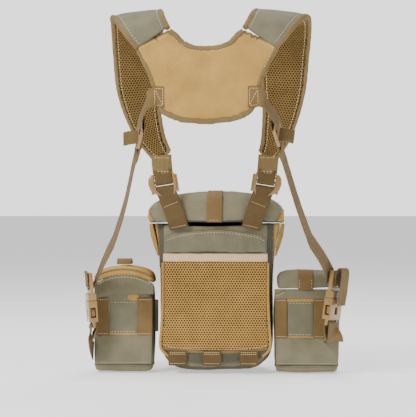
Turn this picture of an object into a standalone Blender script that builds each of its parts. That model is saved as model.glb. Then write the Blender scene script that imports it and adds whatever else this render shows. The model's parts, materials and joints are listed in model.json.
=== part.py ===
"""Binocular harness pack: a lidded chest pack with two side pouches, hung from a padded
shoulder yoke by adjustable webbing and side-release buckles.

Frame: metres, +Z up, the wearer stands at -Y. The origin is the middle of the padded
panel that lies against the wearer's chest, and that panel is the plane Y = 0.
All sizes below are in millimetres and are scaled by MM when a mesh is made.
"""
import bpy
import bmesh
import math
from mathutils import Matrix, Vector

MM = 0.001
CLEAR = 0.4              # gap left between two pieces that touch on the real object

# webbing and plastic
WEB_T = 1.4              # thickness of every webbing
WEB_25 = 25.4            # one inch webbing
WEB_19 = 19.0            # three quarter inch webbing
WALL = 3.0               # padded fabric wall

# main pack
RIM_Z = 97.0
BACK_Y = 2.8             # outer face of the pack's back wall, behind the mesh pocket
FRONT_Y = 110.0
# level, back half width, widest half width, back y, front y
TUB_LEVELS = (
    (-90.0, 42.0, 46.0, 9.0, 95.0),
    (-84.0, 57.0, 60.0, 5.0, 104.0),
    (-73.0, 65.5, 70.0, BACK_Y, 108.5),
    (-58.0, 68.0, 73.5, BACK_Y, FRONT_Y),
    (0.0, 66.5, 73.0, BACK_Y, FRONT_Y),
    (38.0, 66.5, 73.2, BACK_Y, FRONT_Y),
    (66.0, 66.5, 76.0, BACK_Y, FRONT_Y),
    (80.0, 66.5, 79.0, BACK_Y, FRONT_Y),
    (RIM_Z, 66.5, 83.0, BACK_Y, FRONT_Y),
)

# main lid: level, half width, back y, front y
LID_OUTER = (
    (98.0, 87.5, -3.5, 113.0),
    (112.0, 88.5, -4.5, 113.5),
    (121.0, 82.0, -3.5, 112.0),
    (129.5, 67.0, 0.5, 106.0),
    (134.5, 47.0, 8.0, 96.0),
    (137.3, 22.0, 24.0, 80.0),
)
LID_INNER = (
    (131.5, 30.0, 26.0, 78.0),
    (126.5, 62.0, 6.0, 100.0),
    (118.0, 78.0, 0.5, 108.0),
    (98.0, 84.3, -0.3, 109.8),
)

# fabric wing beside the mouth: level, inner and outer half width
WING_LEVELS = (
    (54.0, 75.6, 77.4),
    (66.0, 76.8, 82.0),
    (80.0, 79.8, 86.4),
    (96.0, 83.6, 88.5),
)

# attachment loop below the mesh pocket, from the pack's foot up to the pocket's hem
LOOP_PROFILE = ((2.2, -83.4), (-0.2, -82.2), (-1.4, -79.5), (-1.8, -74.0), (-2.0, -69.0),
                (-1.4, -67.4), (-1.0, -64.6))

# pouches: x range, y range, floor and rim
POUCH_L = (-157.0, -79.5, 10.0, 60.0)
POUCH_L_RIM = 19.0
POUCH_L_ARCH = 10.5      # the zip line rises this much at the middle
POUCH_R = (74.3, 158.0, 10.0, 60.0)
POUCH_R_RIM = 13.4
POUCH_FLOOR = -92.0

# side release buckles: mouth centre, outward lean of the axis, turn of the broad face
BUCKLES = {
    "l": (Vector((-156.5, -15.0, -0.5)), -4.0, 76.0),
    "r": (Vector((149.5, -15.0, 3.5)), 7.0, 65.0),
}
CHEST_LOCK = (63.0, -11.0, 141.5)
CHEST_LOCK_LEAN = 9.0

# finish of each material slot: colour, roughness, metallic
MATERIALS = {
    "ripstop": ((0.205, 0.200, 0.145), 0.80, 0.0),
    "ripstop_pad": ((0.215, 0.208, 0.150), 0.82, 0.0),
    "suede": ((0.48, 0.34, 0.17), 0.88, 0.0),
    "webbing": ((0.27, 0.19, 0.095), 0.78, 0.0),
    "webbing_dark": ((0.17, 0.125, 0.06), 0.78, 0.0),
    "mesh": ((0.50, 0.33, 0.12), 0.80, 0.0),
    "elastic": ((0.70, 0.50, 0.30), 0.80, 0.0),
    "acetal": ((0.38, 0.24, 0.09), 0.42, 0.0),
    "zinc": ((0.22, 0.20, 0.17), 0.40, 0.9),
    "cord": ((0.06, 0.05, 0.04), 0.80, 0.0),
}


def finish(name, bm, slot, place=None, sharp=35.0, bevel=0.0):
    """Turn a bmesh in millimetres into a named object with its own material."""
    if place is not None:
        bmesh.ops.transform(bm, matrix=place, verts=bm.verts)
    bmesh.ops.scale(bm, vec=Vector((MM, MM, MM)), verts=bm.verts)
    bmesh.ops.recalc_face_normals(bm, faces=bm.faces)
    if bevel:
        edges = [e for e in bm.edges if len(e.link_faces) == 2 and e.calc_face_angle() > 0.6]
        bmesh.ops.bevel(bm, geom=edges, offset=bevel * MM, segments=1, profile=0.5,
                        affect="EDGES", clamp_overlap=True)
    mesh = bpy.data.meshes.new(name)
    bm.to_mesh(mesh)
    bm.free()
    rgb, rough, metal = MATERIALS[slot]
    mat = bpy.data.materials.new(f"{slot}.{name}")
    mat.use_nodes = True
    shader = mat.node_tree.nodes["Principled BSDF"]
    shader.inputs["Base Color"].default_value = (*rgb, 1.0)
    shader.inputs["Roughness"].default_value = rough
    shader.inputs["Metallic"].default_value = metal
    mat.diffuse_color = (*rgb, 1.0)
    mesh.materials.append(mat)
    obj = bpy.data.objects.new(name, mesh)
    bpy.context.scene.collection.objects.link(obj)
    for poly in mesh.polygons:
        poly.use_smooth = True
    mesh.set_sharp_from_angle(angle=math.radians(sharp))
    return obj


def loft(name, rings, slot, ring_closed=False, place=None, sharp=35.0):
    """A closed body through rings of equal point count, capped or closed on itself."""
    bm = bmesh.new()
    layers = [[bm.verts.new(Vector(p)) for p in ring] for ring in rings]
    count = len(rings[0])
    pairs = list(zip(layers, layers[1:]))
    if ring_closed:
        pairs.append((layers[-1], layers[0]))
    for low, high in pairs:
        for i in range(count):
            j = (i + 1) % count
            bm.faces.new((low[i], low[j], high[j], high[i]))
    if not ring_closed:
        bm.faces.new(layers[0][::-1])
        bm.faces.new(layers[-1])
    return finish(name, bm, slot, place, sharp)


def spline(points, steps):
    """Catmull-Rom points through a list of tuples of any length."""
    out = []
    last = len(points) - 1
    for i in range(last):
        p0 = points[max(i - 1, 0)]
        p1 = points[i]
        p2 = points[i + 1]
        p3 = points[min(i + 2, last)]
        for k in range(steps):
            t = k / steps
            out.append(tuple(
                0.5 * (2 * b + (c - a) * t + (2 * a - 5 * b + 4 * c - d) * t * t
                       + (3 * b - a - 3 * c + d) * t ** 3)
                for a, b, c, d in zip(p0, p1, p2, p3)))
    out.append(tuple(points[-1]))
    return out


def frames(path, across):
    """Tangent, width and face directions at each point of a path."""
    out = []
    last = len(path) - 1
    for i, point in enumerate(path):
        ahead = Vector(path[min(i + 1, last)])
        behind = Vector(path[max(i - 1, 0)])
        tangent = (ahead - behind).normalized()
        side = Vector(across[i])
        side = (side - tangent * side.dot(tangent)).normalized()
        out.append((Vector(point), tangent, side, side.cross(tangent)))
    return out


def ribbon(name, path, across, width, thick, slot, place=None):
    """A flat strap of constant section along a path; across is one vector or one per point."""
    if not isinstance(across[0], (tuple, list, Vector)):
        across = [across] * len(path)
    rings = []
    for centre, tangent, side, face in frames(path, across):
        w = side * (width / 2)
        t = face * (thick / 2)
        rings.append([centre - w - t, centre + w - t, centre + w + t, centre - w + t])
    return loft(name, rings, slot, place=place, sharp=50.0)


def rounded(x0, x1, y0, y1, radius, z, lift=None, steps=3, between=0):
    """A rounded rectangle in plan; lift adds a height that depends on x."""
    plan = []
    for cx, cy, start in ((x1 - radius, y1 - radius, 0), (x0 + radius, y1 - radius, 90),
                          (x0 + radius, y0 + radius, 180), (x1 - radius, y0 + radius, 270)):
        for k in range(steps + 1):
            a = math.radians(start + 90 * k / steps)
            plan.append((cx + radius * math.cos(a), cy + radius * math.sin(a)))
        if start in (0, 180):
            far = x0 + radius if start == 0 else x1 - radius
            x, y = plan[-1]
            for k in range(1, between + 1):
                plan.append((x + (far - x) * k / (between + 1), y))
    return [(x, y, z + (lift(x) if lift else 0.0)) for x, y in plan]


def slab(name, outline, y_out, y_in, slot, soft=0.8):
    """A sewn panel: an outline in x and z, with its edges eased by soft on the outer face."""
    cx = sum(p[0] for p in outline) / len(outline)
    cz = sum(p[1] for p in outline) / len(outline)

    def ring(y, inset):
        out = []
        for x, z in outline:
            d = math.hypot(x - cx, z - cz)
            k = (d - inset) / d
            out.append((cx + (x - cx) * k, y, cz + (z - cz) * k))
        return out

    way = 1.0 if y_in > y_out else -1.0
    rings = [ring(y_out, soft), ring(y_out + way * soft, 0.0), ring(y_in, 0.0)]
    return loft(name, rings, slot)


def carved(name, add, cut, slot, place=None, bevel=0.5):
    """One moulded body: the union of boxes less other boxes, each x0 x1 y0 y1 z0 z1."""
    lines = [sorted({b[2 * k + e] for b in add + cut for e in (0, 1)}) for k in range(3)]

    def inside(centre, boxes):
        return any(all(b[2 * k] < centre[k] < b[2 * k + 1] for k in range(3)) for b in boxes)

    spans = [len(axis) - 1 for axis in lines]
    solid = {}
    for i in range(spans[0]):
        for j in range(spans[1]):
            for k in range(spans[2]):
                mid = [(lines[n][c] + lines[n][c + 1]) / 2 for n, c in enumerate((i, j, k))]
                solid[i, j, k] = inside(mid, add) and not inside(mid, cut)
    bm = bmesh.new()
    verts = {}

    def vert(i, j, k):
        if (i, j, k) not in verts:
            verts[i, j, k] = bm.verts.new((lines[0][i], lines[1][j], lines[2][k]))
        return verts[i, j, k]

    sides = (
        ((1, 0, 0), ((1, 0, 0), (1, 1, 0), (1, 1, 1), (1, 0, 1))),
        ((-1, 0, 0), ((0, 0, 0), (0, 0, 1), (0, 1, 1), (0, 1, 0))),
        ((0, 1, 0), ((0, 1, 0), (0, 1, 1), (1, 1, 1), (1, 1, 0))),
        ((0, -1, 0), ((0, 0, 0), (1, 0, 0), (1, 0, 1), (0, 0, 1))),
        ((0, 0, 1), ((0, 0, 1), (1, 0, 1), (1, 1, 1), (0, 1, 1))),
        ((0, 0, -1), ((0, 0, 0), (0, 1, 0), (1, 1, 0), (1, 0, 0))),
    )
    for (i, j, k), full in solid.items():
        if not full:
            continue
        for step, corners in sides:
            if not solid.get((i + step[0], j + step[1], k + step[2])):
                bm.faces.new([vert(i + a, j + b, k + c) for a, b, c in corners])
    bmesh.ops.dissolve_limit(bm, angle_limit=0.01, verts=bm.verts, edges=bm.edges)
    return finish(name, bm, slot, place, 35.0, bevel)


def mirror(side):
    return -1.0 if side == "l" else 1.0


# ---------------------------------------------------------------- main pack

def tub_ring(level, half_back, half_wide, y0, y1):
    """Plan of the pack at one level: flat back, flared sides, rounded front."""
    bend = half_back + 0.6 * (half_wide - half_back)
    half = [(half_back - 5.0, y0), (half_back, y0 + 3.5), (bend, y0 + 18.0),
            (half_wide, y0 + 42.0), (half_wide, y1 - 24.0), (half_wide - 7.0, y1 - 8.0),
            (half_wide - 24.0, y1)]
    ring = [(x, y, level) for x, y in half]
    return ring + [(-x, y, z) for x, y, z in reversed(ring)]


def build_pack():
    outer = [tub_ring(*level) for level in TUB_LEVELS]
    inner = []
    for level, back, wide, y0, y1 in reversed(TUB_LEVELS[1:]):
        z = RIM_Z if level == RIM_Z else level + (2.0 if level < -80 else 0.0)
        inner.append(tub_ring(z, back - WALL, wide - WALL, y0 + WALL, y1 - WALL))
    loft("pack_body", outer + inner, "ripstop")

    # padded upper back panel with an arched top seam
    arch = [(66.0, 59.2), (66.0, 78.5), (55.0, 82.5), (38.0, 86.0), (18.0, 88.2), (0.0, 88.9),
            (-18.0, 88.2), (-38.0, 86.0), (-55.0, 82.5), (-66.0, 78.5), (-66.0, 59.2)]
    slab("back_panel", arch, -0.6, BACK_Y - CLEAR, "ripstop_pad", soft=1.2)
    band = [(-66.3, 48.6), (66.3, 48.6), (66.3, 58.7), (-66.3, 58.7)]
    slab("mesh_band", band, -0.9, BACK_Y - CLEAR, "elastic", soft=0.5)
    mesh_edge = [(66.3, 48.1), (66.3, 0.0), (67.5, -30.0), (69.5, -58.0), (66.0, -62.5),
                 (50.0, -64.5), (25.0, -66.2), (0.0, -66.8)]
    outline = mesh_edge + [(-x, z) for x, z in reversed(mesh_edge[:-1])]
    slab("mesh_pocket", outline, 0.0, BACK_Y - CLEAR, "mesh", soft=0.6)

    # lower band and the three attachment loops that cross it
    low = [(66.0, -63.6), (64.5, -70.5), (56.0, -75.0), (30.0, -79.0), (0.0, -80.0)]
    low += [(-x, z) for x, z in reversed(low[:-1])]
    top = [(-50.0, -65.2), (-25.0, -67.0), (0.0, -67.5), (25.0, -67.0), (50.0, -65.2)]
    slab("bottom_band", low + top, 0.6, BACK_Y - CLEAR, "ripstop", soft=0.6)
    for number, centre in enumerate((-47.5, -4.0, 43.0), 1):
        path = [(centre, y, z) for y, z in LOOP_PROFILE]
        ribbon(f"pals_loop_{number}", path, (1.0, 0.0, 0.0), WEB_25 - 1.4, WEB_T, "webbing_dark")

    # lid: domed shell open below, hinged along its far edge
    def lid_ring(z, half, y0, y1):
        return rounded(-half, half, y0, y1, min(16.0, half * 0.6), z)

    rings = [lid_ring(*r) for r in LID_OUTER[::-1] + LID_INNER[::-1]]
    loft("pack_lid", rings, "ripstop", sharp=45.0)
    tab = [(-0.4, 26.0, 138.6), (-0.4, 14.0, 138.2), (-0.4, 4.0, 135.2), (-0.4, -2.2, 130.6),
           (-0.4, -4.8, 124.5), (-0.4, -5.8, 117.0), (-0.4, -5.9, 108.0), (-0.4, -5.2, 98.6)]
    ribbon("lid_pull_tab", spline(tab, 2), (1.0, 0.0, 0.0), WEB_19, WEB_T, "webbing")
    hinge = [(-52.0, 84.0), (52.0, 84.0), (52.0, 96.6), (-52.0, 96.6)]
    slab("lid_hinge_tape", hinge, FRONT_Y + 2.0, FRONT_Y + CLEAR, "webbing", soft=0.4)

    # tan side wings beside the mouth
    for side in "lr":
        s = mirror(side)
        rings = []
        for z, x_in, x_out in WING_LEVELS:
            rings.append([(s * x_in, 46.5, z), (s * x_out, 50.0, z), (s * x_out, 80.0, z),
                          (s * x_in, 84.0, z)])
        loft(f"side_wing_{side}", rings, "suede")

    # flat zipped pocket on the far side
    pocket = [(-50.0, -66.0), (50.0, -66.0), (55.0, -60.0), (55.0, 42.0), (48.0, 50.0),
              (-48.0, 50.0), (-55.0, 42.0), (-55.0, -60.0)]
    slab("front_pocket", pocket, FRONT_Y + 14.0, FRONT_Y + CLEAR, "ripstop", soft=4.0)


# ---------------------------------------------------------------- pouches

def pouch_shell(name, plan, rim, slot, lift=None):
    """A hollow pouch with padded walls, open at the top."""
    x0, x1, y0, y1 = plan
    rings = []
    more = 6 if lift else 0
    for z, inset in ((POUCH_FLOOR, 4.0), (POUCH_FLOOR + 5.0, 0.0), (rim - 14.0, 0.0)):
        rings.append(rounded(x0 + inset, x1 - inset, y0 + inset, y1 - inset, 7.0, z,
                             between=more))
    rings.append(rounded(x0, x1, y0, y1, 7.0, rim, lift, between=more))
    w = WALL
    rings.append(rounded(x0 + w, x1 - w, y0 + w, y1 - w, 4.5, rim, lift, between=more))
    for z in (rim - 14.0, POUCH_FLOOR + 4.0):
        rings.append(rounded(x0 + w, x1 - w, y0 + w, y1 - w, 4.5, z, between=more))
    loft(name, rings, slot)


def pouch_lid(name, plan, outer, inner, slot, lift):
    """A dished pouch lid: rings of level, inset and share of the arch."""
    x0, x1, y0, y1 = plan
    rings = []
    more = 6 if lift else 0
    for z, inset, share in outer[::-1] + inner[::-1]:
        height = (lambda x, k=share: lift(x) * k) if lift else None
        radius = max(3.5, 7.0 - 0.8 * inset)
        rings.append(rounded(x0 + inset, x1 - inset, y0 + min(inset, 17.0),
                             y1 - min(inset, 17.0), radius, z, height, between=more))
    loft(name, rings, slot, sharp=45.0)


def pouch_webs(tag, straps, panel, top, low):
    """The two vertical webbings and the sewn panel between them on the wearer's side."""
    for number, (a, b) in enumerate(straps, 1):
        outline = [(a, low), (b, low), (b, top), (a, top)]
        slab(f"pouch_{tag}_web_{number}", outline, 7.9, 9.5, "webbing", soft=0.3)
    a, b = panel
    outline = [(a, low + 2.0), (b, low + 2.0), (b, top - 3.0), (a, top - 3.0)]
    slab(f"pouch_{tag}_panel", outline, 8.2, 9.5, "ripstop", soft=0.4)


def build_pouches():
    centre = (POUCH_L[0] + POUCH_L[1]) / 2
    half = (POUCH_L[1] - POUCH_L[0]) / 2

    def arch(x):
        return POUCH_L_ARCH * max(0.0, 1.0 - ((x - centre) / half) ** 2)

    pouch_shell("pouch_l_body", POUCH_L, POUCH_L_RIM, "ripstop", arch)
    z = POUCH_L_RIM + 0.6
    pouch_lid("pouch_l_lid", POUCH_L,
              ((z, 0.0, 1.0), (z + 7.0, 0.0, 0.9), (z + 11.5, 2.0, 0.9), (z + 13.6, 7.0, 0.85),
               (z + 14.0, 18.0, 0.85)),
              ((z + 10.5, 18.0, 0.85), (z + 9.0, 6.0, 0.9), (z, 3.0, 1.0)), "suede", arch)
    loop = [(-118.3, 39.3, 44.4)]
    for k in range(1, 8):
        a = math.pi * k / 8
        loop.append((-118.3, 30.0 + 8.6 * math.cos(a), 44.0 + 7.0 * math.sin(a) ** 0.6))
    loop.append((-118.3, 20.7, 44.4))
    ribbon("pouch_l_loop", loop, (1.0, 0.0, 0.0), WEB_19, WEB_T, "webbing")
    pouch_webs("l", ((-152.6, -136.8), (-99.6, -80.6)), (-136.2, -100.2), 1.5, -46.0)
    carved("pouch_l_tie", [(-79.1, -74.2, 22.0, 27.0, -42.5, -1.0)], [], "ripstop", bevel=0.4)

    # zip slider on the outer wall, with its hanging pull
    x = POUCH_L[0] - CLEAR
    body = (x - 2.6, x, 16.5, 24.5, 12.5, 19.2)
    bridge = (x - 4.4, x - 2.6, 18.5, 22.5, 14.6, 17.0)
    carved("zip_slider", [body, bridge], [], "zinc", bevel=0.3)
    rings = []
    for z, radius in ((12.2, 1.0), (4.0, 1.0), (-4.0, 1.0), (-8.5, 2.6), (-12.0, 2.6),
                      (-17.5, 2.6), (-20.0, 1.4)):
        rings.append([(x - 5.3 + radius * math.cos(math.radians(60 * n)),
                       20.5 + radius * math.sin(math.radians(60 * n)), z) for n in range(6)])
    loft("zip_pull", rings, "cord")

    # right pouch with a rolled top
    pouch_shell("pouch_r_body", POUCH_R, POUCH_R_RIM, "ripstop")
    z = POUCH_R_RIM + 0.7
    grown = (78.2, POUCH_R[1] - 2.0, 6.2, 61.0)
    pouch_lid("pouch_r_lid", grown,
              ((z, 1.0, 0.0), (z + 5.0, 0.0, 0.0), (z + 13.0, 0.0, 0.0), (z + 18.5, 3.0, 0.0),
               (z + 21.6, 10.0, 0.0)),
              ((z + 18.0, 10.0, 0.0), (z + 15.5, 4.5, 0.0), (z, 4.0, 0.0)), "ripstop", None)
    tab = [(114.6, 24.0, 36.7), (114.6, 15.0, 36.7), (114.6, 9.2, 34.6), (114.6, 5.6, 30.0),
           (114.6, 4.9, 24.0), (114.6, 5.2, 18.0), (114.6, 6.0, 12.5)]
    ribbon("pouch_r_lid_tab", spline(tab, 2), (1.0, 0.0, 0.0), WEB_19, WEB_T, "webbing")
    pouch_webs("r", ((75.3, 91.2), (125.0, 143.6)), (91.8, 124.4), 1.0, -49.0)
    carved("pouch_r_tie", [(73.4, 73.9, 26.0, 34.0, -42.5, -1.0)], [], "ripstop", bevel=0.0)


# ---------------------------------------------------------------- yoke and shoulder straps

YOKE_SIDE = ((210.3, 0.0), (210.8, 14.0), (212.6, 29.4), (217.0, 42.0), (223.0, 51.0),
             (229.5, 54.6), (245.0, 58.5), (262.0, 64.5), (280.0, 72.0), (298.4, 81.4))
YOKE_TOP = ((0.0, 296.8), (18.0, 299.2), (27.0, 304.0), (35.2, 311.4), (40.0, 317.6),
            (81.4, 298.9))
YOKE_T = 7.5


def along(table, value):
    """Straight-line lookup in a table of pairs."""
    for (a, fa), (b, fb) in zip(table, table[1:]):
        if a <= value <= b:
            return fa + (fb - fa) * (value - a) / (b - a)
    return table[-1][1]


def yoke_y(x, z):
    """The yoke follows the upper back: its middle is furthest from the pack."""
    return -232.0 + 0.0012 * x * x + 0.035 * (z - 250.0)


def build_yoke():
    bottom = [(half, z) for z, half in YOKE_SIDE]
    columns = [-81.0, -76.0, -70.0, -64.5, -58.5, -54.6, -51.0, -42.0, -35.0, -27.0, -18.0, -8.0,
               0.0, 8.0, 18.0, 27.0, 35.0, 42.0, 51.0, 54.6, 58.5, 64.5, 70.0, 76.0, 81.0]
    rings = []
    for x in columns:
        low = along(bottom, abs(x))
        high = along(YOKE_TOP, abs(x))
        rows = [low + (high - low) * k / 5 for k in range(6)]
        ring = []
        for k, z in enumerate(rows):
            t = YOKE_T / 2 * (0.45 if k in (0, 5) else 1.0)
            ring.append((x, yoke_y(x, z) - t, z))
        for k, z in reversed(list(enumerate(rows))):
            t = YOKE_T / 2 * (0.45 if k in (0, 5) else 1.0)
            ring.append((x, yoke_y(x, z) + t, z))
        rings.append(ring)
    loft("yoke_panel", rings, "suede")


# outer and inner edges of a shoulder strap, from the yoke seam over the shoulder to the chest
STRAP_OUTER = ((82.6, -223.6, 300.0), (94.0, -216.0, 315.0), (107.0, -190.0, 331.5),
               (116.0, -150.0, 338.5), (119.0, -112.0, 337.0), (120.0, -84.0, 322.0),
               (119.0, -68.0, 300.0), (116.5, -54.0, 268.0), (109.0, -41.0, 238.0),
               (97.5, -27.0, 209.0), (88.0, -17.0, 194.5), (80.0, -12.6, 184.0))
STRAP_INNER = ((41.4, -228.2, 318.6), (47.0, -222.0, 329.5), (52.0, -192.0, 340.0),
               (56.0, -150.0, 344.5), (58.0, -112.0, 343.0), (60.0, -84.0, 328.0),
               (61.0, -66.0, 302.0), (62.5, -51.0, 266.0), (64.0, -39.0, 236.0),
               (61.5, -25.0, 208.0), (58.5, -16.0, 193.5), (55.0, -12.6, 184.0))
STRAP_T = 8.5
STRAP_SWAY = {"l": 3.0, "r": -3.0}   # each strap hangs this much further out or in


def build_straps():
    outer = spline(STRAP_OUTER, 2)
    inner = spline(STRAP_INNER, 2)
    for side in "lr":
        s = mirror(side)
        rings = []
        count = len(outer)
        mids = [tuple((a + b) / 2 for a, b in zip(p, q)) for p, q in zip(outer, inner)]
        for i, (p, q) in enumerate(zip(outer, inner)):
            share = i / (count - 1)
            sway = STRAP_SWAY[side] * math.sin(math.pi * max(0.0, share - 0.3) / 0.7) ** 2
            p = Vector((s * (p[0] + sway), p[1], p[2]))
            q = Vector((s * (q[0] + sway), q[1], q[2]))
            a = Vector(mids[max(i - 1, 0)])
            b = Vector(mids[min(i + 1, count - 1)])
            tangent = Vector((s * (b.x - a.x), b.y - a.y, b.z - a.z)).normalized()
            face = (p - q).cross(tangent).normalized() * s
            half = STRAP_T / 2
            across = p - q
            ring = []
            for k, t in ((0.0, 0.35), (0.10, 1.0), (0.36, 1.0), (0.64, 1.0), (0.90, 1.0), (1.0, 0.35)):
                ring.append(q + across * k + face * half * t)
            for k, t in ((1.0, 0.35), (0.90, 1.0), (0.64, 1.0), (0.36, 1.0), (0.10, 1.0), (0.0, 0.35)):
                ring.append(q + across * k - face * half * t)
            rings.append(ring)
        loft(f"shoulder_strap_{side}", rings, "ripstop_pad")

        # elastic sleeve and the adjusting webbing it holds
        path = [(s * 67.6, -12.4, 181.6), (s * 67.2, -12.1, 175.0), (s * 66.6, -11.4, 168.0),
                (s * 65.9, -11.0, 161.2)]
        ribbon(f"strap_sleeve_{side}", path, (1.0, 0.0, -0.12 * s), WEB_25 - 0.6, 7.2, "webbing")


def lock_place(origin, axis, face):
    """Matrix that puts a moulded piece's z on axis and its -y on face."""
    z = Vector(axis).normalized()
    y = -Vector(face)
    y = (y - z * y.dot(z)).normalized()
    x = y.cross(z)
    m = Matrix((x, y, z)).transposed().to_4x4()
    m.translation = Vector(origin)
    return m


def bar_turn(radius, z, start, stop, steps=6):
    """Points of a webbing turn about a bar, in the bar's y and z."""
    out = []
    for k in range(steps + 1):
        a = math.radians(start + (stop - start) * k / steps)
        out.append((0.0, radius * math.cos(a), z + radius * math.sin(a)))
    return out


def build_chest_side():
    for side in "lr":
        s = mirror(side)
        lean = math.radians(CHEST_LOCK_LEAN)
        axis = (s * math.sin(lean), 0.0, math.cos(lean))
        place = lock_place((s * CHEST_LOCK[0], CHEST_LOCK[1], CHEST_LOCK[2]), axis, (0, -1, 0))

        rails = [(-17.4, -14.3, -1.9, 1.9, -6.0, 16.2), (14.3, 17.4, -1.9, 1.9, -6.0, 16.2)]
        bars = [(-17.2, 17.2, -1.4, 1.4, -1.4, 1.4), (-17.2, 17.2, -1.7, 1.7, 7.3, 10.1),
                (-17.2, 17.2, -1.7, 1.7, 13.4, 15.6)]
        carved(f"chest_lock_{side}", rails + bars, [], "acetal", place, 0.5)

        # webbing from the pack, looped round the lock's lower bar and sewn to itself
        turn = [place @ Vector(p) for p in bar_turn(2.95, 0.0, 180.0, 0.0)]
        front = [(s * 45.2, -0.3, 90.6), (s * 46.6, -3.4, 94.6), (s * 49.0, -8.2, 103.0),
                 (s * 52.6, -10.2, 114.5), (s * 56.8, -11.8, 126.0), (s * 60.2, -13.6, 135.0)]
        rear = [(s * 60.4, -8.3, 135.0), (s * 57.2, -9.3, 126.0), (s * 54.4, -9.3, 119.0)]
        path = spline(front, 2) + [tuple(p) for p in turn] + rear
        across = place.to_3x3() @ Vector((1.0, 0.0, 0.0))
        flat = Vector((across.x / abs(across.x), 0.0, 0.0))
        ways = [flat.lerp(across, min(1.0, i / 9)) for i in range(len(path))]
        ribbon(f"chest_web_{side}", path, ways, WEB_25 - 0.8, WEB_T, "webbing_dark")

        # adjusting webbing under the sleeve, turned round the lock's two upper bars
        turn = [tuple(p) for p in bar_turn(3.0, 7.9, 180.0, 360.0)]
        path = [(0.0, -3.1, 15.8), (0.0, -3.0, 11.0)] + turn + [(0.0, 3.0, 11.0), (0.0, 3.1, 15.8)]
        ribbon(f"adjust_web_{side}", [tuple(place @ Vector(p)) for p in path],
               tuple(across), 22.0, WEB_T, "webbing_dark")


# ---------------------------------------------------------------- buckles

def buckle_place(side):
    origin, lean, turn = BUCKLES[side]
    s = mirror(side)
    axis = Vector((math.sin(math.radians(lean)), 0.0, math.cos(math.radians(lean))))
    face = (s * math.sin(math.radians(turn)), -math.cos(math.radians(turn)), 0.0)
    return lock_place(origin, axis, face)


def build_buckles():
    for side in "lr":
        place = buckle_place(side)
        carved(f"buckle_socket_{side}",
               [(-16.5, 16.5, -5.4, 5.4, -26.5, 0.0), (-15.5, 15.5, -1.5, 1.5, -34.0, -26.5)],
               [(-13.4, 13.4, -3.2, 3.2, -24.5, 0.1), (-16.6, 16.6, -3.2, 3.2, -21.0, -8.5),
                (-13.2, 13.2, -3.1, 3.1, -31.3, -27.4), (-4.0, 4.0, -5.5, -3.2, -20.0, -11.0)],
               "acetal", place, 0.6)
        carved(f"buckle_plug_{side}",
               [(-15.6, 15.6, -5.0, 5.0, 0.5, 9.0), (-16.4, 16.4, -2.2, 2.2, 9.0, 35.0),
                (-3.0, 3.0, -1.6, 1.6, -23.0, 0.5)],
               [(-13.2, 13.2, -2.3, 2.3, 13.5, 19.0), (-13.2, 13.2, -2.3, 2.3, 23.0, 30.5)],
               "acetal", place, 0.6)
        for number, way in ((1, 1.0), (2, -1.0)):
            boxes = []
            for near, far, z0, z1 in ((7.6, 10.4, -21.0, 0.0), (10.4, 12.9, -20.0, -10.0)):
                x0, x1 = sorted((way * near, way * far))
                boxes.append((x0, x1, -2.4, 2.4, z0, z1))
            carved(f"buckle_prong_{side}{number}", boxes, [], "acetal", place, 0.4)


# ---------------------------------------------------------------- side straps

YOKE_LOCK = {"l": (-78.0, -196.0, 202.0), "r": (79.5, -196.0, 204.0)}
YOKE_LOCK_AXIS = (-0.25, -0.62, 0.74)     # up the strap, for the right side x is mirrored
SIDE_RUN = {
    "l": ((-146.5, -29.0, 37.0), (-134.0, -46.0, 50.5), (-106.0, -105.0, 114.0),
          (-88.2, -160.0, 168.0)),
    "r": ((141.0, -29.0, 42.0), (130.0, -46.0, 52.0), (105.5, -105.0, 115.0),
          (87.2, -160.0, 172.0)),
}


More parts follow.
